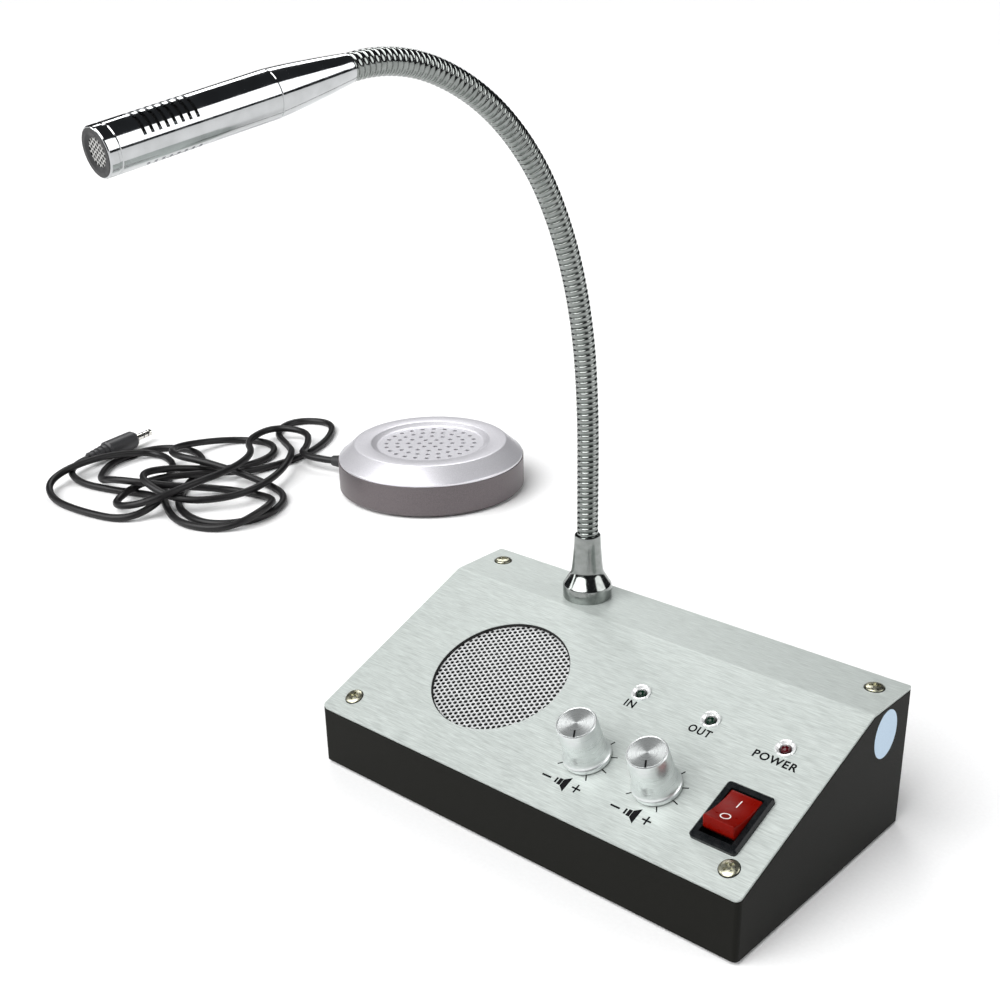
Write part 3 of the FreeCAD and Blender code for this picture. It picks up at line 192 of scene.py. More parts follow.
def wide_window(name, power, width, travel):
    """Far window, as wide as an angle in degrees, whose light travels one way."""
    light_data = bpy.data.lights.new(name, "SUN")
    light_data.energy = power
    light_data.angle = math.radians(width)
    light = bpy.data.objects.new(name, light_data)
    bpy.context.scene.collection.objects.link(light)
    light.rotation_mode = "QUATERNION"
    light.rotation_quaternion = Vector(travel).to_track_quat("-Z", "Y")


wide_window("front_window", 4.1, 62, (0.12, 0.66, -0.74))
wide_window("right_window", 1.1, 42, (-0.80, -0.38, -0.46))
soft_panel("left_panel", (-1.2, -0.8, 0.5), (-0.05, 0.0, 0.05), 0.25, 0.9, 3)
soft_panel("rear_panel", (-1.1, 1.0, 1.3), (0.0, 0.0, 0.05), 0.9, 0.6, 8)


# Window speaker's cord
# A thin round three-core lead in dark grey PVC, moulded to its plug. It lies in loose
# crossing loops on the counter, just as it was dropped, and runs up into the speaker.
puck_turn = Matrix.Rotation(math.radians(39.8), 4, "Z")
puck_place = Matrix.Translation((-0.2325, 0.162, 0.0)) @ puck_turn
cord_diameter = 3.5 * mm
cord_route = [
    (-0.179, 0.030, 0.0047), (-0.186, 0.0165, 0.0047), (-0.177, 0.002, 0.0018), (-0.156, -0.009, 0.0018),
    (-0.136, -0.015, 0.0018), (-0.124, -0.034, 0.0065), (-0.138, -0.049, 0.0018), (-0.162, -0.038, 0.0018),
    (-0.184, -0.020, 0.0018), (-0.190, 0.000, 0.0055), (-0.172, 0.024, 0.008), (-0.151, 0.048, 0.0018),
    (-0.134, 0.030, 0.0018), (-0.133, 0.001, 0.0018), (-0.127, -0.026, 0.0018), (-0.113, -0.054, 0.0018),
    (-0.088, -0.061, 0.0018), (-0.070, -0.042, 0.0075), (-0.077, -0.019, 0.0018), (-0.100, -0.008, 0.0018),
    (-0.126, -0.017, 0.007), (-0.152, -0.018, 0.011), (-0.167, 0.003, 0.0025), (-0.169, 0.032, 0.0018),
    (-0.151, 0.055, 0.0018), (-0.128, 0.050, 0.0018), (-0.117, 0.024, 0.0018), (-0.122, -0.006, 0.0018),
    (-0.119, -0.034, 0.0018), (-0.099, -0.056, 0.0018), (-0.074, -0.047, 0.0018), (-0.067, -0.020, 0.0018),
    (-0.083, 0.001, 0.0018), (-0.109, 0.007, 0.0095), (-0.134, 0.017, 0.011), (-0.136, 0.042, 0.007),
    (-0.114, 0.067, 0.0018), (-0.089, 0.061, 0.0018), (-0.085, 0.037, 0.0018), (-0.104, 0.018, 0.0018),
    (-0.131, 0.002, 0.0095), (-0.141, -0.021, 0.014), (-0.117, -0.038, 0.0065), (-0.089, -0.028, 0.0055),
    (-0.075, -0.002, 0.0065), (-0.073, 0.028, 0.0075), (-0.080, 0.054, 0.0018), (-0.092, 0.078, 0.0018),
    (-0.084, 0.098, 0.0018), (-0.062, 0.094, 0.0018), (-0.060, 0.066, 0.0018), (-0.069, 0.039, 0.0018),
    (-0.090, 0.017, 0.0018), (-0.116, 0.004, 0.0055), (-0.140, -0.008, 0.007), (-0.152, -0.031, 0.0025),
    (-0.133, -0.046, 0.008), (-0.110, -0.030, 0.013), (-0.097, -0.003, 0.0105), (-0.093, 0.026, 0.008),
    (-0.102, 0.052, 0.006), (-0.092, 0.074, 0.006), (-0.072, 0.068, 0.0055), (-0.068, 0.046, 0.0055),
    (-0.0701, 0.0255, 0.0064), (-0.0513, 0.0187, 0.0064)]

line = bpy.data.curves.new("window_cord_line", "CURVE")
line.dimensions = "3D"
line.resolution_u = 10
line.bevel_depth = cord_diameter / 2
line.bevel_resolution = 4
line.use_fill_caps = True
spline = line.splines.new("NURBS")
spline.points.add(len(cord_route) - 1)
for point, place in zip(spline.points, cord_route):
    point.co = (*(puck_place @ Vector(place)), 1.0)
spline.order_u = 3
spline.use_endpoint_u = True
cord = bpy.data.objects.new("speaker_lead", line)
bpy.context.scene.collection.objects.link(cord)

lead_pvc = grained(
    "lead_pvc", (0.005, 0.0045, 0.005), 0.42, (0.0035, 0.003, 0.0035), (0.0075, 0.007, 0.0075),
    Scale=1400.0, Smooth=0.36, Rough=0.5, Depth=0.00002, sockets={"Specular IOR Level": 0.35})
line.materials.append(lead_pvc)
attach(cord, "desk_unit")
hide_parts("window_cord")


# Strain reliefs and the plug
# A rubber gland grips the lead at the speaker. At the other end a moulded grip with a
# ribbed boot holds a three-contact 3.5 mm plug, nickel on brass with two black bands.
soft_rubber = grained(
    "soft_rubber", (0.016, 0.016, 0.017), 0.6, (0.012, 0.012, 0.013), (0.024, 0.024, 0.025),
    Scale=2400.0, Smooth=0.5, Rough=0.7, Depth=0.00002)
plug_grip_pvc = grained(
    "plug_grip_pvc", (0.02, 0.02, 0.022), 0.4, (0.022, 0.022, 0.024), (0.042, 0.042, 0.045),
    Scale=1800.0, Smooth=0.34, Rough=0.5, Depth=0.00001)
plug_nickel = grained(
    "plug_nickel", (0.72, 0.70, 0.66), 0.15, (0.68, 0.66, 0.61), (0.80, 0.78, 0.74),
    metallic=1.0, Scale=1500.0, Smooth=0.10, Rough=0.24, Depth=0.000002)
band_black = grained(
    "band_black", (0.01, 0.01, 0.01), 0.4, (0.008, 0.008, 0.008), (0.014, 0.014, 0.014),
    Scale=2500.0, Smooth=0.35, Rough=0.5)
dress("cord_gland", soft_rubber)
dress("plug_boot", plug_grip_pvc)
dress("plug_body", plug_grip_pvc)
dress("plug_contacts", plug_nickel)
dress("plug_insulators", band_black)


# Housing and feet
# The tub is moulded in black ABS with a fine spark-eroded skin. Four rubber discs are
# pressed into its floor.
housing_abs = grained(
    "housing_abs", (0.0065, 0.0065, 0.005), 0.5, (0.005, 0.005, 0.0038), (0.008, 0.008, 0.0065),
    Scale=3200.0, Smooth=0.45, Rough=0.62, Depth=0.00003, sockets={"Specular IOR Level": 0.09})
dress("base_housing", housing_abs)
dress("rubber_feet", soft_rubber)


# Top panel
# One sheet of 1 mm aluminium, brushed along its length, bent across and screwed down.
# The brushing shows as short bright and dull lines in several widths.
brushed_lines, group_in, group_out = new_effect(
    "brushed_lines", {"Along": 60.0, "Across": 1800.0, "Smooth": 0.3, "Rough": 0.5, "Depth": 0.00001},
    surface_sockets)
place = brushed_lines.nodes.new("ShaderNodeTexCoord")
stretch = brushed_lines.nodes.new("ShaderNodeCombineXYZ")
stretched = brushed_lines.nodes.new("ShaderNodeVectorMath")
stretched.operation = "MULTIPLY"
noise = new_node(brushed_lines, "ShaderNodeTexNoise", Scale=1.0, Detail=6.0, Roughness=0.62)
spread = new_node(brushed_lines, "ShaderNodeMapRange", From_Min=0.32, From_Max=0.68)
relief = new_node(brushed_lines, "ShaderNodeBump", Strength=1.0)
for source, target in ((group_in.outputs["Along"], stretch.inputs["X"]),
                       (group_in.outputs["Across"], stretch.inputs["Y"]),
                       (group_in.outputs["Across"], stretch.inputs["Z"]),
                       (place.outputs["Object"], stretched.inputs[0]),
                       (stretch.outputs["Vector"], stretched.inputs[1]),
                       (stretched.outputs["Vector"], noise.inputs["Vector"]),
                       (noise.outputs["Fac"], spread.inputs["Value"]),
                       (group_in.outputs["Smooth"], spread.inputs["To Min"]),
                       (group_in.outputs["Rough"], spread.inputs["To Max"]),
                       (noise.outputs["Fac"], relief.inputs["Height"]),
                       (group_in.outputs["Depth"], relief.inputs["Distance"]),
                       (noise.outputs["Fac"], group_out.inputs["Mask"]),
                       (spread.outputs["Result"], group_out.inputs["Roughness"]),
                       (relief.outputs["Normal"], group_out.inputs["Normal"])):
    brushed_lines.links.new(source, target)

panel_brushed, shader = new_material("panel_brushed", (0.50, 0.54, 0.515), 0.4, 0.35)
with_effect(panel_brushed, shader, brushed_lines, (0.395, 0.428, 0.41), (0.605, 0.65, 0.625),
            Along=190.0, Across=3600.0, Smooth=0.38, Rough=0.55, Depth=0.00003)
dress("top_panel", panel_brushed)


# Speaker grille
# A disc of steel sheet punched with round holes in close-packed rows, glued under the
# panel's opening. A black ring round the opening's edge is painted shade, for the
# shadow in the recess. The paper cone and its basket show black behind it.
unit_depth, strip_depth, front_height, rear_height = 88.0, 22.0, 19.0, 45.0
foot_height, panel_top = 1.2, 1.0
strip_top = rear_height + foot_height + panel_top
slope_angle = math.atan2(rear_height - front_height, unit_depth - strip_depth)
slope_foot = Matrix.Translation((0, -unit_depth / 2 * mm, (front_height + foot_height) * mm))
slope_place = slope_foot @ Matrix.Rotation(slope_angle, 4, "X")


def on_slope(across, up, height=0.0):
    """Place on the slope: across the unit, up from its front edge, square to the panel's underside."""
    return slope_place @ Matrix.Translation((across * mm, up * mm, height * mm))


def only(*chosen):
    """Select just these objects, the last one active, in object mode."""
    bpy.ops.object.select_all(action="DESELECT")
    for one in chosen:
        one.select_set(True)
    bpy.context.view_layer.objects.active = chosen[-1]


def edit_all():
    bpy.ops.object.mode_set(mode="EDIT")
    bpy.ops.mesh.select_all(action="SELECT")


def edit_done():
    bpy.ops.object.mode_set(mode="OBJECT")


def settle(piece, placed):
    """Move a finished piece from the origin to its place, and leave that place in its mesh."""
    only(piece)
    piece.matrix_world = placed
    bpy.ops.object.transform_apply(location=True, rotation=True, scale=True)
    return piece


def apply_modifiers(piece):
    only(piece)
    for modifier in list(piece.modifiers):
        bpy.ops.object.modifier_apply(modifier=modifier.name)


def give_wall(piece, thickness):
    """Turn a sheet into a wall that grows inwards."""
    wall = piece.modifiers.new("wall", "SOLIDIFY")
    wall.thickness = thickness
    wall.offset = -1
    apply_modifiers(piece)


def select_verts(piece, wanted):
    """Select the vertices that a test on their place picks out."""
    bpy.ops.mesh.select_all(action="DESELECT")
    edit_done()
    for vertex in piece.data.vertices:
        vertex.select = wanted(vertex.co)
    bpy.ops.object.mode_set(mode="EDIT")
    bpy.ops.mesh.select_mode(type="VERT")


def perforated(name, hole, pitch, radius, thickness):
    """Punched sheet: one six-sided cell with a round hole, repeated in close-packed rows."""
    bpy.ops.object.select_all(action="DESELECT")
    bpy.ops.mesh.primitive_circle_add(vertices=12, radius=hole / 2)
    sheet = bpy.context.active_object
    sheet.name = name
    edit_all()
    bpy.ops.mesh.extrude_region_move(TRANSFORM_OT_translate={"value": (0, 0, 0)})
    reach = pitch / math.sqrt(3)
    share = 2 * reach / hole
    bpy.ops.transform.resize(value=(share, share, 1), center_override=(0, 0, 0))

    def at_a_flat(co):
        angle = math.degrees(math.atan2(co.y, co.x))
        nearest = round(angle / 60) * 60
        return co.length > reach * 0.95 and abs(angle - nearest) < 5

    select_verts(sheet, at_a_flat)
    flat_share = math.cos(math.radians(30))
    bpy.ops.transform.resize(value=(flat_share, flat_share, 1), center_override=(0, 0, 0))
    bpy.ops.mesh.select_all(action="SELECT")
    row = pitch * math.sqrt(3) / 2
    bpy.ops.mesh.duplicate_move(TRANSFORM_OT_translate={"value": (pitch / 2, row, 0)})
    edit_done()
    for count, step in ((2 * math.ceil(radius / pitch) + 1, (pitch, 0, 0)),
                        (2 * math.ceil(radius / row / 2) + 1, (0, 2 * row, 0))):
        rows = sheet.modifiers.new("rows", "ARRAY")
        rows.count = count
        rows.use_relative_offset = False
        rows.use_constant_offset = True
        rows.constant_offset_displace = step
    apply_modifiers(sheet)
    edit_all()
    across = math.ceil(radius / pitch) * pitch
    along = math.ceil(radius / row / 2) * 2 * row
    bpy.ops.transform.translate(value=(-across, -along, 0))
    select_verts(sheet, lambda co: Vector((co.x, co.y)).length > radius)
    bpy.ops.mesh.delete(type="FACE")
    bpy.ops.mesh.select_all(action="SELECT")
    bpy.ops.mesh.remove_doubles(threshold=0.00001)
    bpy.ops.mesh.normals_make_consistent(inside=False)
    edit_done()
    give_wall(sheet, thickness)
    return sheet


def turned(name, rings, sides=64):
    """Round piece about Z, drawn up ring by ring from (radius, height) pairs in millimetres."""
    bpy.ops.object.select_all(action="DESELECT")
    last, low = rings[0]
    bpy.ops.mesh.primitive_circle_add(vertices=sides, radius=last * mm)
    piece = bpy.context.active_object
    piece.name = name
    edit_all()
    bpy.ops.transform.translate(value=(0, 0, low * mm))
    for radius, height in rings[1:]:
        bpy.ops.mesh.extrude_region_move(TRANSFORM_OT_translate={"value": (0, 0, (height - low) * mm)})
        share = radius / last
        bpy.ops.transform.resize(value=(share, share, 1), center_override=(0, 0, 0))
        last, low = radius, height
    bpy.ops.mesh.select_all(action="SELECT")
    bpy.ops.mesh.remove_doubles(threshold=0.00002)
    bpy.ops.mesh.normals_make_consistent(inside=False)
    edit_done()
    return piece


def smooth(piece, degrees=35):
    only(piece)
    bpy.ops.object.shade_smooth_by_angle(angle=math.radians(degrees))
    return piece


middle = 0.01    # radius that stands for the axis, since a ring can't be scaled up from nothing
grille_steel = grained(
    "grille_steel", (0.70, 0.71, 0.71), 0.35, (0.56, 0.57, 0.57), (0.78, 0.79, 0.79),
    metallic=0.35, Scale=1200.0, Smooth=0.30, Rough=0.45, Depth=0.00001)
grille = perforated("punched_grille", 1.32 * mm, 1.75 * mm, 24.6 * mm, 0.3 * mm)
rim = turned("grille_rim",
             [(23.4, -0.75), (26.0, -0.75), (26.0, -0.05), (23.4, -0.05), (23.4, -0.75)], 72)
only(rim, grille)
bpy.ops.object.join()
grille_across, grille_up, glue_gap = -32.5, 36.83, 0.02
row_turn = Matrix.Rotation(math.radians(33), 4, "Z")
settle(grille, on_slope(grille_across, grille_up, -glue_gap) @ row_turn)
grille.data.materials.append(grille_steel)
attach(grille, "desk_unit")
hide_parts("speaker_mesh")

# Black for the foam behind the microphone's slots, and for the painted shade ring at the grille's opening.
foam_and_shade_black = grained(
    "foam_and_shade_black", (0.005, 0.005, 0.005), 0.9, (0.003, 0.003, 0.003), (0.008, 0.008, 0.008),
    Scale=2200.0, Smooth=0.8, Rough=0.98, Depth=0.00004)
# Painted shade: a black ring round the opening's edge, standing in for the shadow in the recess over the
# grille.
shade_ring = turned("painted_shade_ring", [(22.4, 0.0), (22.79, 0.0), (22.79, 0.85), (22.68, 0.85), (22.4, 0.3),
                            (22.4, 0.0)], 96)
settle(smooth(shade_ring), on_slope(grille_across, grille_up))
shade_ring.data.materials.append(foam_and_shade_black)
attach(shade_ring, "desk_unit")

cone_paper = grained(
    "cone_paper", (0.006, 0.006, 0.006), 0.8, (0.004, 0.004, 0.004), (0.009, 0.009, 0.009),
    Scale=1200.0, Smooth=0.7, Rough=0.95, Depth=0.00004)
basket_black = grained(
    "basket_black", (0.008, 0.008, 0.009), 0.5, (0.006, 0.006, 0.007), (0.012, 0.012, 0.013),
    Scale=800.0, Smooth=0.4, Rough=0.6, Depth=0.00001)
ferrite = grained(
    "ferrite", (0.035, 0.034, 0.034), 0.6, (0.028, 0.027, 0.027), (0.045, 0.044, 0.043),
    Scale=1100.0, Smooth=0.5, Rough=0.7, Depth=0.00001)
dress("speaker_cone", cone_paper)
dress("speaker_basket", basket_black)
dress("speaker_magnet", ferrite)


# Indicator lamps
# Three 3 mm lamps in tinted resin, green, green and red, each held by a polished cup
# that is notched on four sides and throws the light forward.
column_places = [14.0, 39.0, 64.0]
lamp_row, control_row = 49.63, 22.13
polished_chrome = grained(
    "polished_chrome", (0.50, 0.51, 0.52), 0.08, (0.47, 0.48, 0.485), (0.55, 0.56, 0.57),
    metallic=1.0, Scale=220.0, Smooth=0.05, Rough=0.13, Depth=0.0000015)
cup_mirror = grained(
    "cup_mirror", (0.88, 0.89, 0.89), 0.2, (0.84, 0.85, 0.85), (0.93, 0.94, 0.94),
    metallic=0.35, Scale=400.0, Smooth=0.14, Rough=0.26, Depth=0.000002)


def tinted_resin(name, dark, pale):
    return grained(
        name, pale, 0.12, dark, pale,
        Scale=700.0, Smooth=0.06, Rough=0.16, Depth=0.000002, sockets={"Specular IOR Level": 0.35})


def block(name, width, length, height):
    """Box about the origin, in millimetres, left in edit mode with all of it selected."""
    bpy.ops.object.select_all(action="DESELECT")
    bpy.ops.mesh.primitive_cube_add(size=1)
    piece = bpy.context.active_object
    piece.name = name
    edit_all()
    bpy.ops.transform.resize(value=(width * mm, length * mm, height * mm))
    return piece


def shift(across=0.0, along=0.0, up=0.0):
    """Move what is selected in edit mode, in millimetres."""
    bpy.ops.transform.translate(value=(across * mm, along * mm, up * mm))


def cross_cutter(length, width, depth, height, turn=0.0):
    """Two crossed bars, centred at a height in millimetres and turned back by an angle."""
    cutter = block("cross", length, width, depth)
    bpy.ops.mesh.duplicate_move()
    bpy.ops.transform.rotate(value=math.radians(90), orient_axis="Z", center_override=(0, 0, 0))
    bpy.ops.mesh.select_all(action="SELECT")
    shift(up=height)
    if turn:
        bpy.ops.transform.rotate(value=turn, orient_axis="Z", center_override=(0, 0, 0))
    edit_done()
    return cutter


def cut_away(piece, cutter, crossing=False):
    """Cut one piece's shape out of another, and throw the cutter away."""
    cut = piece.modifiers.new("cut", "BOOLEAN")
    cut.object = cutter
    cut.use_self = crossing
    apply_modifiers(piece)
    bpy.data.objects.remove(cutter)


lamp_green = tinted_resin("lamp_green", (0.001, 0.010, 0.005), (0.002, 0.020, 0.010))
lamp_red = tinted_resin("lamp_red", (0.035, 0.001, 0.003), (0.065, 0.002, 0.005))
for name, across, resin in zip(("in", "out", "power"), column_places, (lamp_green, lamp_green, lamp_red)):
    dress("lamp_" + name, resin)
    cup = turned("lamp_cup_" + name,
                 [(1.88, -3.8), (2.3, -3.8), (2.3, 1.0), (2.95, 1.02), (3.0, 1.2), (3.0, 1.6),
                  (2.92, 1.8), (2.72, 1.9), (2.55, 1.82), (2.28, 1.4), (2.02, 1.02), (1.88, 0.9),
                  (1.88, -3.8)], 48)
    notches = cross_cutter(7.0, 0.6, 1.2, 1.65, math.radians(20))
    cut_away(cup, notches, crossing=True)
    settle(smooth(cup, 30), on_slope(across, lamp_row))
    cup.data.materials.append(cup_mirror)
    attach(cup, "desk_unit")
    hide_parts("lamp_bezel_" + name)


# Volume knobs
# Turned from aluminium bar: a straight body with a hollow flare down to a thin skirt,
# faced on top in fine rings, with a black line filled in for a pointer.
def spun_aluminium(name, centre, turn):
    """Bright aluminium with the lathe's fine rings about the knob's own axis."""
    material, shader = new_material(name, (0.70, 0.72, 0.72), 0.3, 0.8)
    shader.inputs["Anisotropic"].default_value = 0.85
    tree = material.node_tree
    place = tree.nodes.new("ShaderNodeTexCoord")
    mapping = new_node(tree, "ShaderNodeMapping", Location=centre, Rotation=turn)
    mapping.vector_type = "TEXTURE"
    parts = tree.nodes.new("ShaderNodeSeparateXYZ")
    level = tree.nodes.new("ShaderNodeCombineXYZ")
    radius = tree.nodes.new("ShaderNodeVectorMath")
    radius.operation = "LENGTH"
    ring_place = tree.nodes.new("ShaderNodeCombineXYZ")
    rings = new_node(tree, "ShaderNodeTexNoise", Scale=5000.0, Detail=2.0)
    relief = new_node(tree, "ShaderNodeBump", Strength=0.03, Distance=0.0000005)
    gloss = new_node(tree, "ShaderNodeMapRange",
                     From_Min=0.3, From_Max=0.7, To_Min=0.27, To_Max=0.30)
    arm = tree.nodes.new("ShaderNodeVectorMath")
    arm.operation = "SUBTRACT"
    arm.inputs[1].default_value = centre
    around = tree.nodes.new("ShaderNodeVectorMath")
    around.operation = "CROSS_PRODUCT"
    around.inputs[0].default_value = (0, -math.sin(slope_angle), math.cos(slope_angle))
    lathe_way = tree.nodes.new("ShaderNodeVectorTransform")
    lathe_way.vector_type = "VECTOR"
    lathe_way.convert_from = "OBJECT"
    lathe_way.convert_to = "WORLD"
    tones = two_tone(tree, rings.outputs["Fac"], (0.68, 0.705, 0.70), (0.71, 0.735, 0.73))
    for source, target in ((place.outputs["Object"], mapping.inputs["Vector"]),
                           (mapping.outputs["Vector"], parts.inputs["Vector"]),
                           (parts.outputs["X"], level.inputs["X"]),
                           (parts.outputs["Y"], level.inputs["Y"]),
                           (level.outputs["Vector"], radius.inputs[0]),
                           (radius.outputs["Value"], ring_place.inputs["X"]),
                           (parts.outputs["Z"], ring_place.inputs["Y"]),
                           (ring_place.outputs["Vector"], rings.inputs["Vector"]),
                           (rings.outputs["Fac"], relief.inputs["Height"]),
                           (rings.outputs["Fac"], gloss.inputs["Value"]),
                           (relief.outputs["Normal"], shader.inputs["Normal"]),
                           (gloss.outputs["Result"], shader.inputs["Roughness"]),
                           (place.outputs["Object"], arm.inputs[0]),
                           (arm.outputs["Vector"], around.inputs[1]),
                           (around.outputs["Vector"], lathe_way.inputs["Vector"]),
                           (lathe_way.outputs["Vector"], shader.inputs["Tangent"]),
                           (tones, shader.inputs["Base Color"])):
        tree.links.new(source, target)
    return material


# Black of the screen printing; the painted shadow rings round the panel screws use it too.
print_and_shade_black = grained(
    "print_and_shade_black", (0.006, 0.006, 0.007), 0.6, (0.004, 0.004, 0.005), (0.009, 0.009, 0.010),
    Scale=3000.0, Smooth=0.55, Rough=0.7, sockets={"Specular IOR Level": 0.05})


def flat_bar(name, width, length, height, middle_at, turn=0.0):
    """Thin bar of print or paint, centred in millimetres and turned about Z."""
    bar = block(name, width, length, height)
    shift(*middle_at)
    bpy.ops.transform.rotate(value=-turn, orient_axis="Z", center_override=(0, 0, 0))
    edit_done()
    return bar


knob_top, pointer_at = 15.94, -4.2
knob_rings = [(middle, 12.3), (3.0, 12.3), (3.0, 6.3), (3.9, 6.3), (3.9, 3.4), (6.2, 3.4), (6.2, 1.5),
              (7.15, 1.5), (7.4, 1.7), (7.4, 2.85), (7.25, 3.0), (6.98, 3.5), (6.75, 4.2), (6.57, 5.0),
              (6.44, 6.0), (6.36, 7.0), (6.1, 15.6), (6.04, 15.82), (5.88, 15.97), (5.65, 16.0),
              (5.55, knob_top), (5.4, knob_top), (middle, knob_top)]
for side, across in zip(("left", "right"), column_places):
    knob = turned("turned_knob_" + side, knob_rings, 96)
    settle(smooth(knob, 32), on_slope(across, control_row))
    centre = on_slope(across, control_row).translation
    knob.data.materials.append(spun_aluminium("spun_aluminium_" + side, centre, (slope_angle, 0, 0)))
    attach(knob, "volume_" + side)
    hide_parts("volume_knob_" + side)
    pointer = flat_bar("knob_pointer_" + side, 0.55, 2.6, 0.1, (0, pointer_at, knob_top + 0.01),
                       math.radians(30))
    settle(pointer, on_slope(across, control_row))
    pointer.data.materials.append(print_and_shade_black)
    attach(pointer, "volume_" + side)
for name in ("volume_shaft_left", "volume_shaft_right", "pot_nut_left", "pot_nut_right"):
    dress(name, plug_nickel)


# Printing on the panel
# Screen-printed in black: a scale of short lines round each knob, a speaker between
# minus and plus below it, and a plain word below each lamp.
# Lay a piece on the panel in black: the printing, and also the painted shadow rings round the screws.
def lay_black(piece, placed):
    settle(piece, placed)
    piece.data.materials.clear()
    piece.data.materials.append(print_and_shade_black)
    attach(piece, "desk_unit")


ink = 0.03
ink_height = panel_top + ink / 2
scale_radius, scale_step, scale_start = 8.1, 40, -147
sign_row = -11.3
for side, across in zip(("left", "right"), column_places):
    lines = []
    for step in range(8):
        turn = math.radians(scale_step * step + scale_start)
        lines.append(flat_bar("scale_line", 0.38, 2.0, ink, (0, scale_radius, ink_height), turn))
    only(*lines)
    bpy.ops.object.join()
    scale_lines = bpy.context.active_object
    scale_lines.name = "scale_lines_" + side
    lay_black(scale_lines, on_slope(across, control_row))

    signs = [flat_bar("sign", width, length, ink, (place, sign_row, ink_height))
             for width, length, place in ((3.3, 0.6, -6.8), (3.0, 0.55, 4.15), (0.55, 3.0, 4.15),
                                          (0.65, 1.9, -3.2), (1.2, 2.3, -1.85))]
    horn = block("horn", 2.0, 2.4, ink)
    select_verts(horn, lambda co: co.x > 0)
    bpy.ops.transform.resize(value=(1, 2.3, 1), center_override=(0, 0, 0))
    bpy.ops.mesh.select_all(action="SELECT")
    shift(-0.1, sign_row, ink_height)
    edit_done()
    only(*signs, horn)
    bpy.ops.object.join()
    signs = bpy.context.active_object
    signs.name = "volume_signs_" + side
    lay_black(signs, on_slope(across, control_row))

label_row, letter_height = 44.8, 2.75
for word, left, right in (("IN", 11.5, 15.0), ("OUT", 34.6, 42.2), ("POWER", 56.6, 70.7)):
    bpy.ops.object.select_all(action="DESELECT")
    bpy.ops.object.text_add()
    label = bpy.context.active_object
    label.name = "label_" + word.lower()
    label.data.body = word
    label.data.align_x = "CENTER"
    label.data.align_y = "CENTER"
    label.data.size = 3.7 * mm
    label.data.offset = 0.1 * mm
    label.data.space_character = 1.15
    label.data.extrude = ink * mm / 2
    bpy.ops.object.convert(target="MESH")
    label = bpy.context.active_object
    places = [vertex.co for vertex in label.data.vertices]
    low = [min(place[way] for place in places) for way in (0, 1)]
    high = [max(place[way] for place in places) for way in (0, 1)]
    edit_all()
    bpy.ops.transform.translate(value=(-(low[0] + high[0]) / 2, -(low[1] + high[1]) / 2, 0))
    widen = (right - left) * mm / (high[0] - low[0])
    heighten = letter_height * mm / (high[1] - low[1])
    bpy.ops.transform.resize(value=(widen, heighten, 1), center_override=(0, 0, 0))
    edit_done()
    lay_black(label, on_slope((left + right) / 2, label_row, ink_height))


# Panel screws
# Zinc-plated steel with low round heads and cross recesses, a little yellow from
# passivation. A thin black ring painted round each head stands for its edge shadow.
screw_zinc = grained(
    "screw_zinc", (0.48, 0.47, 0.37), 0.3, (0.40, 0.39, 0.29), (0.62, 0.61, 0.48),
    metallic=1.0, Scale=900.0, Smooth=0.22, Rough=0.42, Depth=0.00001)
screws, shadow_rings = [], []
screw_across, screw_up, screw_rear = 72.0, 8.0, 36.0
head, shadow_ring_edge, shank, screw_tip, screw_face = 2.85, 3.1, 1.4, -9.0, 0.88
for side, slope_turn, strip_turn in ((-1, 12, 40), (1, 65, 28)):
    on_strip = Matrix.Translation((side * screw_across * mm, screw_rear * mm, strip_top * mm))
    for placed, turn in ((on_slope(side * screw_across, screw_up, panel_top), slope_turn),
                         (on_strip, strip_turn)):
        screw = turned("screw",
                       [(middle, screw_tip), (shank, screw_tip), (shank, 0.0), (head, 0.0), (head, 0.35),
                        (2.65, 0.55), (2.1, 0.75), (1.2, 0.86), (1.0, screw_face), (middle, screw_face)], 48)
        recess = cross_cutter(3.2, 0.8, 1.2, screw_face)
        cut_away(screw, recess, crossing=True)
        screws.append(settle(smooth(screw, 30), placed @ Matrix.Rotation(math.radians(turn), 4, "Z")))
        # Painted shadow: a thin black ring round the head, where its edge casts shade.
        shadow_ring = turned("shadow_ring", [(head, 0.0), (shadow_ring_edge, 0.0), (shadow_ring_edge, 0.04), (head, 0.04),
                               (head, 0.0)], 48)
        shadow_rings.append(settle(shadow_ring, placed))
only(*screws)
bpy.ops.object.join()
screws = bpy.context.active_object
screws.name = "cross_head_screws"
screws.data.materials.append(screw_zinc)
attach(screws, "desk_unit")
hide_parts("panel_screws")
only(*shadow_rings)
bpy.ops.object.join()
shadow_rings = bpy.context.active_object
shadow_rings.name = "screw_shadow_rings"
# The shadow rings take the black of the print: painted shadow, not print.
lay_black(shadow_rings, Matrix())


# Power switch
# A snap-in rocker switch: black gloss frame, and a see-through red rocker with a dished
# top, white I and O moulded in. It stands at ON, so its rear end is down.
frame_gloss = grained(
    "frame_gloss", (0.006, 0.007, 0.008), 0.3, (0.004, 0.005, 0.006), (0.008, 0.009, 0.010),
    Scale=600.0, Smooth=0.22, Rough=0.34, Depth=0.000002, sockets={"Specular IOR Level": 0.2})
dress("switch_case", frame_gloss)

rocker_red = grained(
    "rocker_red", (0.16, 0.003, 0.001), 0.3, (0.15, 0.0025, 0.0007), (0.17, 0.0035, 0.001),
    Scale=500.0, Smooth=0.26, Rough=0.36, Depth=0.000001,
    sockets={"Specular IOR Level": 0.07, "Subsurface Weight": 0.1,
             "Subsurface Radius": (0.004, 0.0006, 0.0003)})
white_ink = grained(
    "white_ink", (0.80, 0.78, 0.76), 0.45, (0.72, 0.70, 0.68), (0.86, 0.84, 0.82),
    Scale=2500.0, Smooth=0.4, Rough=0.55)

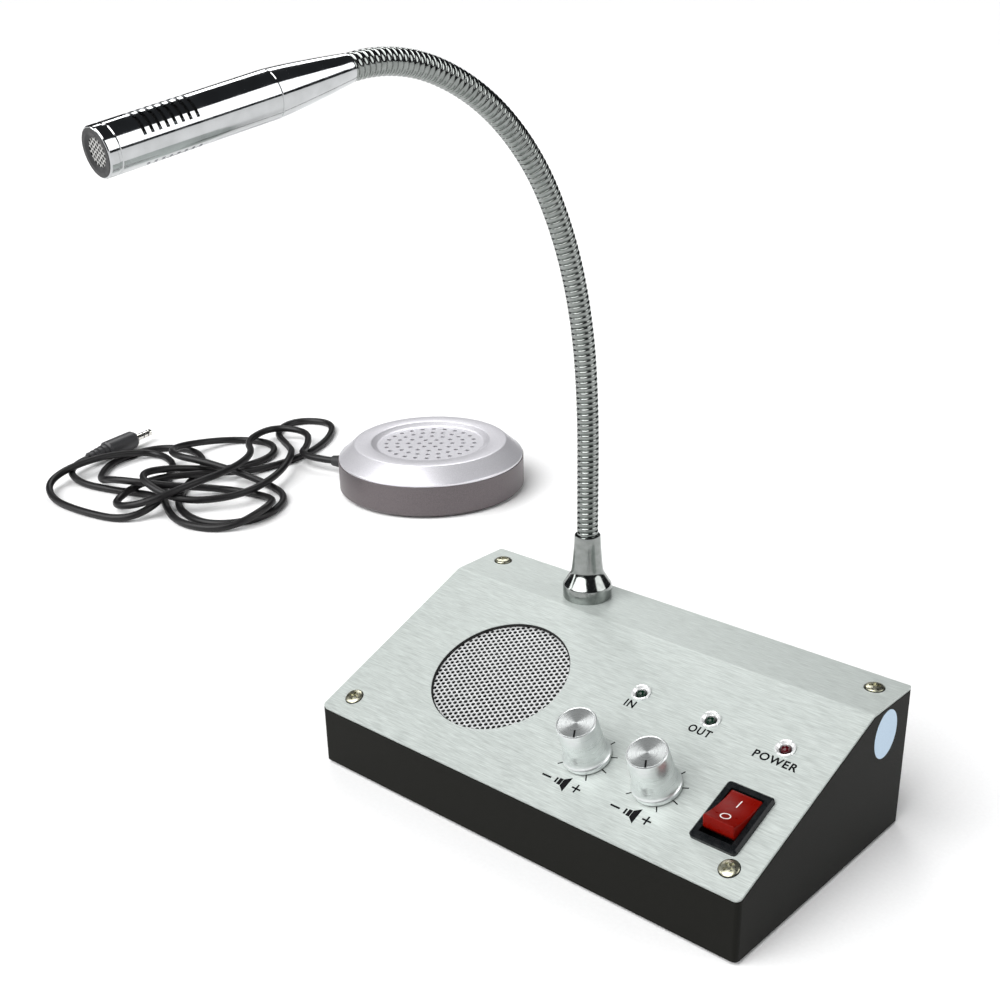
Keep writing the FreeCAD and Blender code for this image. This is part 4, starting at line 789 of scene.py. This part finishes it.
rocker_length, rocker_width, rocker_tilt = 14.2, 10.0, math.radians(18)
pin_above_underside = 0.8
bezel_above_pin = 1.8
end_height = bezel_above_pin + rocker_length / 2 * math.sin(rocker_tilt)
dish = 1.0
stem_depth, stem_share = 3.8, 0.5
pin_radius = 1.05
rocker = block("red_rocker", rocker_width, rocker_length, end_height)
shift(up=end_height / 2)
slices = 14
for step in range(1, slices):
    bpy.ops.mesh.select_all(action="SELECT")
    along = (step / slices - 0.5) * rocker_length * mm
    bpy.ops.mesh.bisect(plane_co=(0, along, 0), plane_no=(0, 1, 0))
for step in range(slices + 1):
    along = (step / slices - 0.5) * rocker_length * mm
    drop = dish * (1 - (2 * along / (rocker_length * mm)) ** 2)
    select_verts(rocker, lambda co: co.z > end_height * mm * 0.9 and abs(co.y - along) < 0.1 * mm)
    shift(up=-drop)
select_verts(rocker, lambda co: co.z < 0.1 * mm)
bpy.ops.mesh.extrude_region_move(TRANSFORM_OT_translate={"value": (0, 0, -stem_depth * mm)})
bpy.ops.transform.resize(value=(1, stem_share, 1), center_override=(0, 0, 0))
edit_done()
soft_edges = rocker.modifiers.new("soft_edges", "BEVEL")
soft_edges.width = 0.45 * mm
soft_edges.segments = 3
soft_edges.limit_method = "ANGLE"
soft_edges.angle_limit = math.radians(35)
apply_modifiers(rocker)
bpy.ops.object.select_all(action="DESELECT")
bpy.ops.mesh.primitive_cylinder_add(vertices=24, radius=pin_radius * mm, depth=12 * mm,
                                    rotation=(0, math.pi / 2, 0))
cut_away(rocker, bpy.context.active_object)
rocker_place = (on_slope(column_places[2], control_row, pin_above_underside)
                @ Matrix.Rotation(-rocker_tilt, 4, "X"))
settle(smooth(rocker, 30), rocker_place)
rocker.data.materials.append(rocker_red)
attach(rocker, "rocker")
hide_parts("power_rocker")


def rocker_top(along):
    """Height of the dished top above the pin, in millimetres."""
    return end_height - dish * (1 - (2 * along / rocker_length) ** 2)


on_mark = flat_bar("mark_on", 0.3, 2.9, 0.06, (0, 0, 0))
off_mark = turned("mark_off", [(1.2, -0.03), (1.54, -0.03), (1.54, 0.03), (1.2, 0.03), (1.2, -0.03)], 40)
for mark, along, proud in ((on_mark, 3.1, 0.02), (off_mark, -3.5, 0.03)):
    slope_there = math.atan(8 * dish * along / rocker_length ** 2)
    mark_place = Matrix.Translation((0, along * mm, (rocker_top(along) + proud) * mm))
    settle(mark, rocker_place @ mark_place @ Matrix.Rotation(slope_there, 4, "X"))
    mark.data.materials.append(white_ink)
    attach(mark, "rocker")


# Gooseneck flange
# Turned brass, polished and chromed: a straight band on the panel, a cone and a long
# tapered collar that the neck is pressed into.
coil_chrome = grained(
    "coil_chrome", (0.26, 0.275, 0.265), 0.15, (0.22, 0.235, 0.225), (0.30, 0.315, 0.305),
    metallic=1.0, Scale=600.0, Smooth=0.09, Rough=0.20, Depth=0.000002)
neck_across, neck_back, flange_height, neck_sink = -31.5, 32.5, 22.0, 1.0
neck_foot = Matrix.Translation((neck_across * mm, neck_back * mm, strip_top * mm))
flange = turned("chrome_flange",
                [(3.55, 9.0), (3.55, 21.8), (3.65, 21.95), (3.95, flange_height), (4.15, 21.85),
                 (4.22, 21.6), (4.45, 18.0), (4.75, 14.0), (5.05, 10.9), (5.2, 9.7), (5.4, 8.9),
                 (5.7, 8.3), (7.65, 5.0), (7.85, 4.75), (8.0, 4.4), (8.0, 0.4), (7.88, 0.12),
                 (7.8, 0.0), (4.8, 0.0), (4.8, -8.0), (1.3, -8.0), (1.3, 9.0), (3.55, 9.0)], 96)
settle(smooth(flange, 28), neck_foot)
flange.data.materials.append(coil_chrome)
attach(flange, "desk_unit")
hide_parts("neck_flange")
dress("neck_nut", plug_nickel)


# Gooseneck
# A steel coil with a second wire wound into its groove, chromed: it bends anywhere and
# stays put.
neck_length, neck_links, total_bend = 196.5 * mm, 7, math.radians(100)
bend_shares = [0.0, 0.05, 0.10, 0.125, 0.19, 0.225, 0.31]
link_length = neck_length / neck_links
neck_start = neck_foot @ Matrix.Translation((0, 0, (flange_height - neck_sink) * mm))
neck_frames = [neck_start @ Matrix.Rotation(math.radians(-96), 4, "Z")]


def along_arc(index, run):
    """Way gone after a run along one link's arc, in the frame in which the link starts."""
    angle = total_bend * bend_shares[index]
    if not angle:
        return Vector((0, 0, run))
    arc_radius = link_length / angle
    turned_by = angle * run / link_length
    return Vector((arc_radius * (1 - math.cos(turned_by)), 0, arc_radius * math.sin(turned_by)))


for index, share in enumerate(bend_shares):
    bend = Matrix.Rotation(total_bend * share, 4, "Y")
    neck_frames.append(neck_frames[-1] @ Matrix.Translation(along_arc(index, link_length)) @ bend)

neck_line = bpy.data.curves.new("neck_line", "CURVE")
neck_line.dimensions = "3D"
neck_line.resolution_u = 60
spline = neck_line.splines.new("BEZIER")
spline.bezier_points.add(neck_links)
for index, (point, placed) in enumerate(zip(spline.bezier_points, neck_frames)):
    point.co = placed.translation
    ahead = placed.to_3x3() @ Vector((0, 0, 1))
    for handle, share, way in (("left", bend_shares[max(index - 1, 0)], -1),
                               ("right", bend_shares[min(index, neck_links - 1)], 1)):
        angle = total_bend * share
        reach = 4 / 3 * math.tan(angle / 4) * link_length / angle if angle else link_length / 3
        setattr(point, "handle_" + handle, point.co + ahead * reach * way)
neck_path = bpy.data.objects.new("neck_line", neck_line)
bpy.context.scene.collection.objects.link(neck_path)

turns_per_link = 16
rib_pitch = link_length / turns_per_link
rib_steps = [(0.0, -0.5), (0.06, -0.36), (0.16, -0.14), (0.33, -0.03), (0.55, 0.0), (0.76, -0.04),
             (0.90, -0.15), (0.97, -0.34), (1.0, -0.5)]    # share of the pitch, depth in millimetres
crest = 3.5 * mm
same_point = 0.000005


def coil_stretch(name, start, turns):
    """Wound stretch of neck: a rib's section swept round and up, then laid along the neck's line."""
    bpy.ops.object.select_all(action="DESELECT")
    bpy.ops.mesh.primitive_plane_add(size=0.1 * mm)
    coil = bpy.context.active_object
    coil.name = name
    edit_all()
    bpy.ops.mesh.merge(type="CENTER")
    bpy.ops.transform.translate(value=(crest + rib_steps[0][1] * mm, 0, start))
    for (low, low_depth), (high, high_depth) in zip(rib_steps[:-1], rib_steps[1:]):
        bpy.ops.mesh.extrude_region_move(
            TRANSFORM_OT_translate={"value": ((high_depth - low_depth) * mm, 0, (high - low) * rib_pitch)})
    edit_done()
    wind = coil.modifiers.new("wind", "SCREW")
    wind.angle = 2 * math.pi
    wind.steps = 32
    wind.render_steps = 32
    wind.screw_offset = rib_pitch
    wind.iterations = turns
    wind.use_merge_vertices = True
    wind.merge_threshold = same_point
    wind.use_smooth_shade = True
    follow = coil.modifiers.new("follow", "CURVE")
    follow.object = neck_path
    follow.deform_axis = "POS_Z"
    apply_modifiers(coil)
    edit_all()
    bpy.ops.mesh.remove_doubles(threshold=same_point)
    bpy.ops.mesh.normals_make_consistent(inside=False)
    edit_done()
    return coil


foot_turns, half = 3, turns_per_link // 2
foot_stretch = coil_stretch("neck_coil_foot", -foot_turns * rib_pitch, foot_turns + half)
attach(foot_stretch, "desk_unit")
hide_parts("neck_link_1")
stretches = [foot_stretch]
for joint in range(1, neck_links):
    start = (joint - 0.5) * link_length
    last = joint == neck_links - 1
    stretch = coil_stretch("neck_coil_%d" % joint, start, turns_per_link + (half if last else 0))
    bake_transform(stretch)
    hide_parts("neck_link_%d" % (joint + 1))
    stretches.append(stretch)
bpy.data.objects.remove(neck_path)
for stretch in stretches:
    stretch.data.materials.append(coil_chrome)


# Microphone
# Chromed brass: a tapered tail, screwed into a straight barrel with eight milled slots
# above and eight below, backed with foam, and a groove near the front. A black ring
# holds a punched disc in its mouth.
mic_place = neck_frames[-1]
taper = turned("mic_tail",
               [(1.3, 0.0), (3.3, 0.0), (3.55, 0.15), (3.65, 0.6), (3.68, 1.2), (4.05, 4.0), (4.46, 7.5),
                (4.85, 11.3), (5.2, 14.8), (5.5, 18.0), (5.75, 21.5), (5.87, 23.8), (5.78, 24.0),
                (4.72, 24.0), (4.72, 27.0), (3.9, 27.0), (3.9, 24.0), (1.3, 12.0), (1.3, 0.0)], 96)
settle(smooth(taper, 25), mic_place)
taper.data.materials.append(polished_chrome)
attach(taper, "microphone")
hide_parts("mic_taper")

barrel = turned("mic_slotted_barrel",
                [(4.8, 24.0), (5.78, 24.0), (5.9, 24.2), (5.9, 67.7), (5.65, 67.9), (5.65, 68.5), (5.9, 68.7),
                 (5.9, 70.6), (5.75, 70.9), (5.5, 71.0), (4.8, 71.0), (4.8, 69.85), (3.9, 69.85),
                 (3.9, 68.95), (4.8, 68.0), (4.8, 24.0)], 128)
slots = []
slot_turn, slot_width, slot_pitch, front_slot = 18, 0.85, 2.0, 61.0
for step in range(8):
    for side in (-1, 1):
        slots.append(block("slot", 5.0, 14.0, slot_width))
        shift(side * 5.8, 0, front_slot - slot_pitch * step)
        edit_done()
only(*slots)
bpy.ops.object.join()
slots = bpy.context.active_object
edit_all()
bpy.ops.transform.rotate(value=math.radians(slot_turn), orient_axis="Z", center_override=(0, 0, 0))
edit_done()
cut_away(barrel, slots)
settle(smooth(barrel, 25), mic_place)
barrel.data.materials.append(polished_chrome)
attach(barrel, "microphone")
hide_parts("mic_barrel")

foam = turned("mic_foam", [(4.3, 43.0), (4.65, 43.0), (4.65, 63.5), (4.3, 63.5), (4.3, 43.0)], 64)
settle(smooth(foam), mic_place)
foam.data.materials.append(foam_and_shade_black)
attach(foam, "microphone")

mouth_steel = grained(
    "mouth_steel", (0.42, 0.42, 0.41), 0.4, (0.36, 0.36, 0.35), (0.50, 0.50, 0.49),
    metallic=0.7, Scale=1200.0, Smooth=0.32, Rough=0.5, Depth=0.00001)
mouth_at = 70.65
mouth = perforated("mic_punched_disc", 0.86 * mm, 1.15 * mm, 3.6 * mm, 0.3 * mm)
ring = turned("mouth_ring", [(3.3, 0.0), (3.3, -0.78), (4.72, -0.78), (4.72, 0.37), (5.5, 0.37),
                             (5.5, 0.45), (4.4, 0.45), (3.35, 0.02), (3.3, 0.0)], 64)
for piece, material in ((mouth, mouth_steel), (ring, basket_black)):
    settle(piece, mic_place @ Matrix.Translation((0, 0, mouth_at * mm)))
    piece.data.materials.append(material)
    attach(piece, "microphone")
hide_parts("mic_mesh")
dress("mic_capsule", basket_black)


# Window speaker
# Base and bevelled lid moulded in ABS, sprayed dark grey and metallic silver. The lid is
# dished in the middle, with rings of round holes, and an oval one for its microphone.
silver_paint = grained(
    "silver_paint", (0.78, 0.77, 0.81), 0.36, (0.72, 0.71, 0.75), (0.84, 0.83, 0.87),
    metallic=0.6, Scale=2600.0, Smooth=0.30, Rough=0.44, Depth=0.000006, sockets={"Coat Weight": 0.15})
base_paint = grained(
    "base_paint", (0.14, 0.12, 0.125), 0.4, (0.11, 0.095, 0.10), (0.165, 0.145, 0.15),
    metallic=0.6, Scale=2600.0, Smooth=0.34, Rough=0.50, Depth=0.000006)
lid = turned("speaker_lid",
             [(42.45, 15.6), (44.5, 15.6), (44.6, 15.7), (44.6, 16.5), (44.4, 16.8), (44.0, 17.1),
              (37.2, 22.95), (36.8, 23.15), (36.3, 23.2), (29.0, 23.2), (28.6, 23.1), (28.3, 22.9),
              (26.2, 21.75), (25.8, 21.6), (25.4, 21.6), (middle, 21.6)], 144)
give_wall(lid, 0.8 * mm)
punches = []
hole_rings, ring_pitch, hole_radius = (1, 6, 12, 20, 24), 5.35, 1.15
for ring_index, count in enumerate(hole_rings):
    for step in range(count):
        angle = 2 * math.pi * step / count
        reach = ring_index * ring_pitch * mm
        bpy.ops.object.select_all(action="DESELECT")
        bpy.ops.mesh.primitive_cylinder_add(
            vertices=16, radius=hole_radius * mm, depth=6 * mm,
            location=(reach * math.cos(angle), reach * math.sin(angle), 21 * mm))
        punches.append(bpy.context.active_object)
bpy.ops.object.select_all(action="DESELECT")
bpy.ops.mesh.primitive_cylinder_add(vertices=24, radius=1.1 * mm, depth=16 * mm)
oval = bpy.context.active_object
edit_all()
half_slot = 1.4
select_verts(oval, lambda co: co.y > 0.1 * mm)
shift(along=half_slot)
select_verts(oval, lambda co: co.y < -0.1 * mm)
shift(along=-half_slot)
edit_done()
mic_hole_turn = Matrix.Rotation(math.radians(141), 4, "Z")
settle(oval, mic_hole_turn @ Matrix.Translation((40.5 * mm, 0, 20 * mm)))
punches.append(oval)
only(*punches)
bpy.ops.object.join()
cut_away(lid, bpy.context.active_object)
settle(smooth(lid, 22), puck_place)
lid.data.materials.append(silver_paint)
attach(lid, "desk_unit")
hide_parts("puck_lid")
dress("puck_base", base_paint)
dress("puck_pad", soft_rubber)
dress("puck_driver", cone_paper)
dress("puck_capsule", basket_black)
dress("puck_magnet", ferrite)
dress("puck_screws", screw_zinc)


# Inspection label
# A plain pale blue oval of paper, stuck near the rear of the housing's right side.
# It is bare.
label_paper = grained(
    "label_paper", (0.52, 0.66, 0.80), 0.6, (0.49, 0.63, 0.77), (0.55, 0.69, 0.83),
    Scale=2000.0, Smooth=0.5, Rough=0.7, Depth=0.000004)
side_wall, label_back, label_up = 80.0, 29.6, 37.6
label = turned("blank_label", [(middle, 0.0), (1.0, 0.0), (1.0, 0.06), (middle, 0.06)], 64)
edit_all()
bpy.ops.transform.resize(value=(7.7, 6.4, 1), center_override=(0, 0, 0))
edit_done()
settle(label, Matrix.Translation((side_wall * mm, label_back * mm, label_up * mm))
       @ Matrix.Rotation(math.radians(90), 4, "Y"))
label.data.materials.append(label_paper)
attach(label, "desk_unit")


# Rear sockets and the parts inside
# A 3.5 mm jack and a barrel inlet look out of the rear wall. The potentiometers and the
# board with its capacitors hang below the panel, where only the open edges give a glimpse.
socket_plastic = grained(
    "socket_plastic", (0.014, 0.014, 0.014), 0.35, (0.010, 0.010, 0.010), (0.020, 0.020, 0.020),
    Scale=1500.0, Smooth=0.28, Rough=0.45, Depth=0.00001)
pot_steel = grained(
    "pot_steel", (0.55, 0.55, 0.54), 0.35, (0.46, 0.46, 0.45), (0.62, 0.62, 0.61),
    metallic=1.0, Scale=900.0, Smooth=0.28, Rough=0.46, Depth=0.00001)
board_resin = grained(
    "board_resin", (0.02, 0.12, 0.05), 0.4, (0.012, 0.085, 0.034), (0.030, 0.15, 0.062),
    Scale=700.0, Smooth=0.3, Rough=0.5, Depth=0.00001)
for name in ("speaker_jack", "power_inlet", "board_components"):
    dress(name, socket_plastic)
for name in ("volume_pot_left", "volume_pot_right"):
    dress(name, pot_steel)
dress("circuit_board", board_resin)
dress("board_screws", screw_zinc)
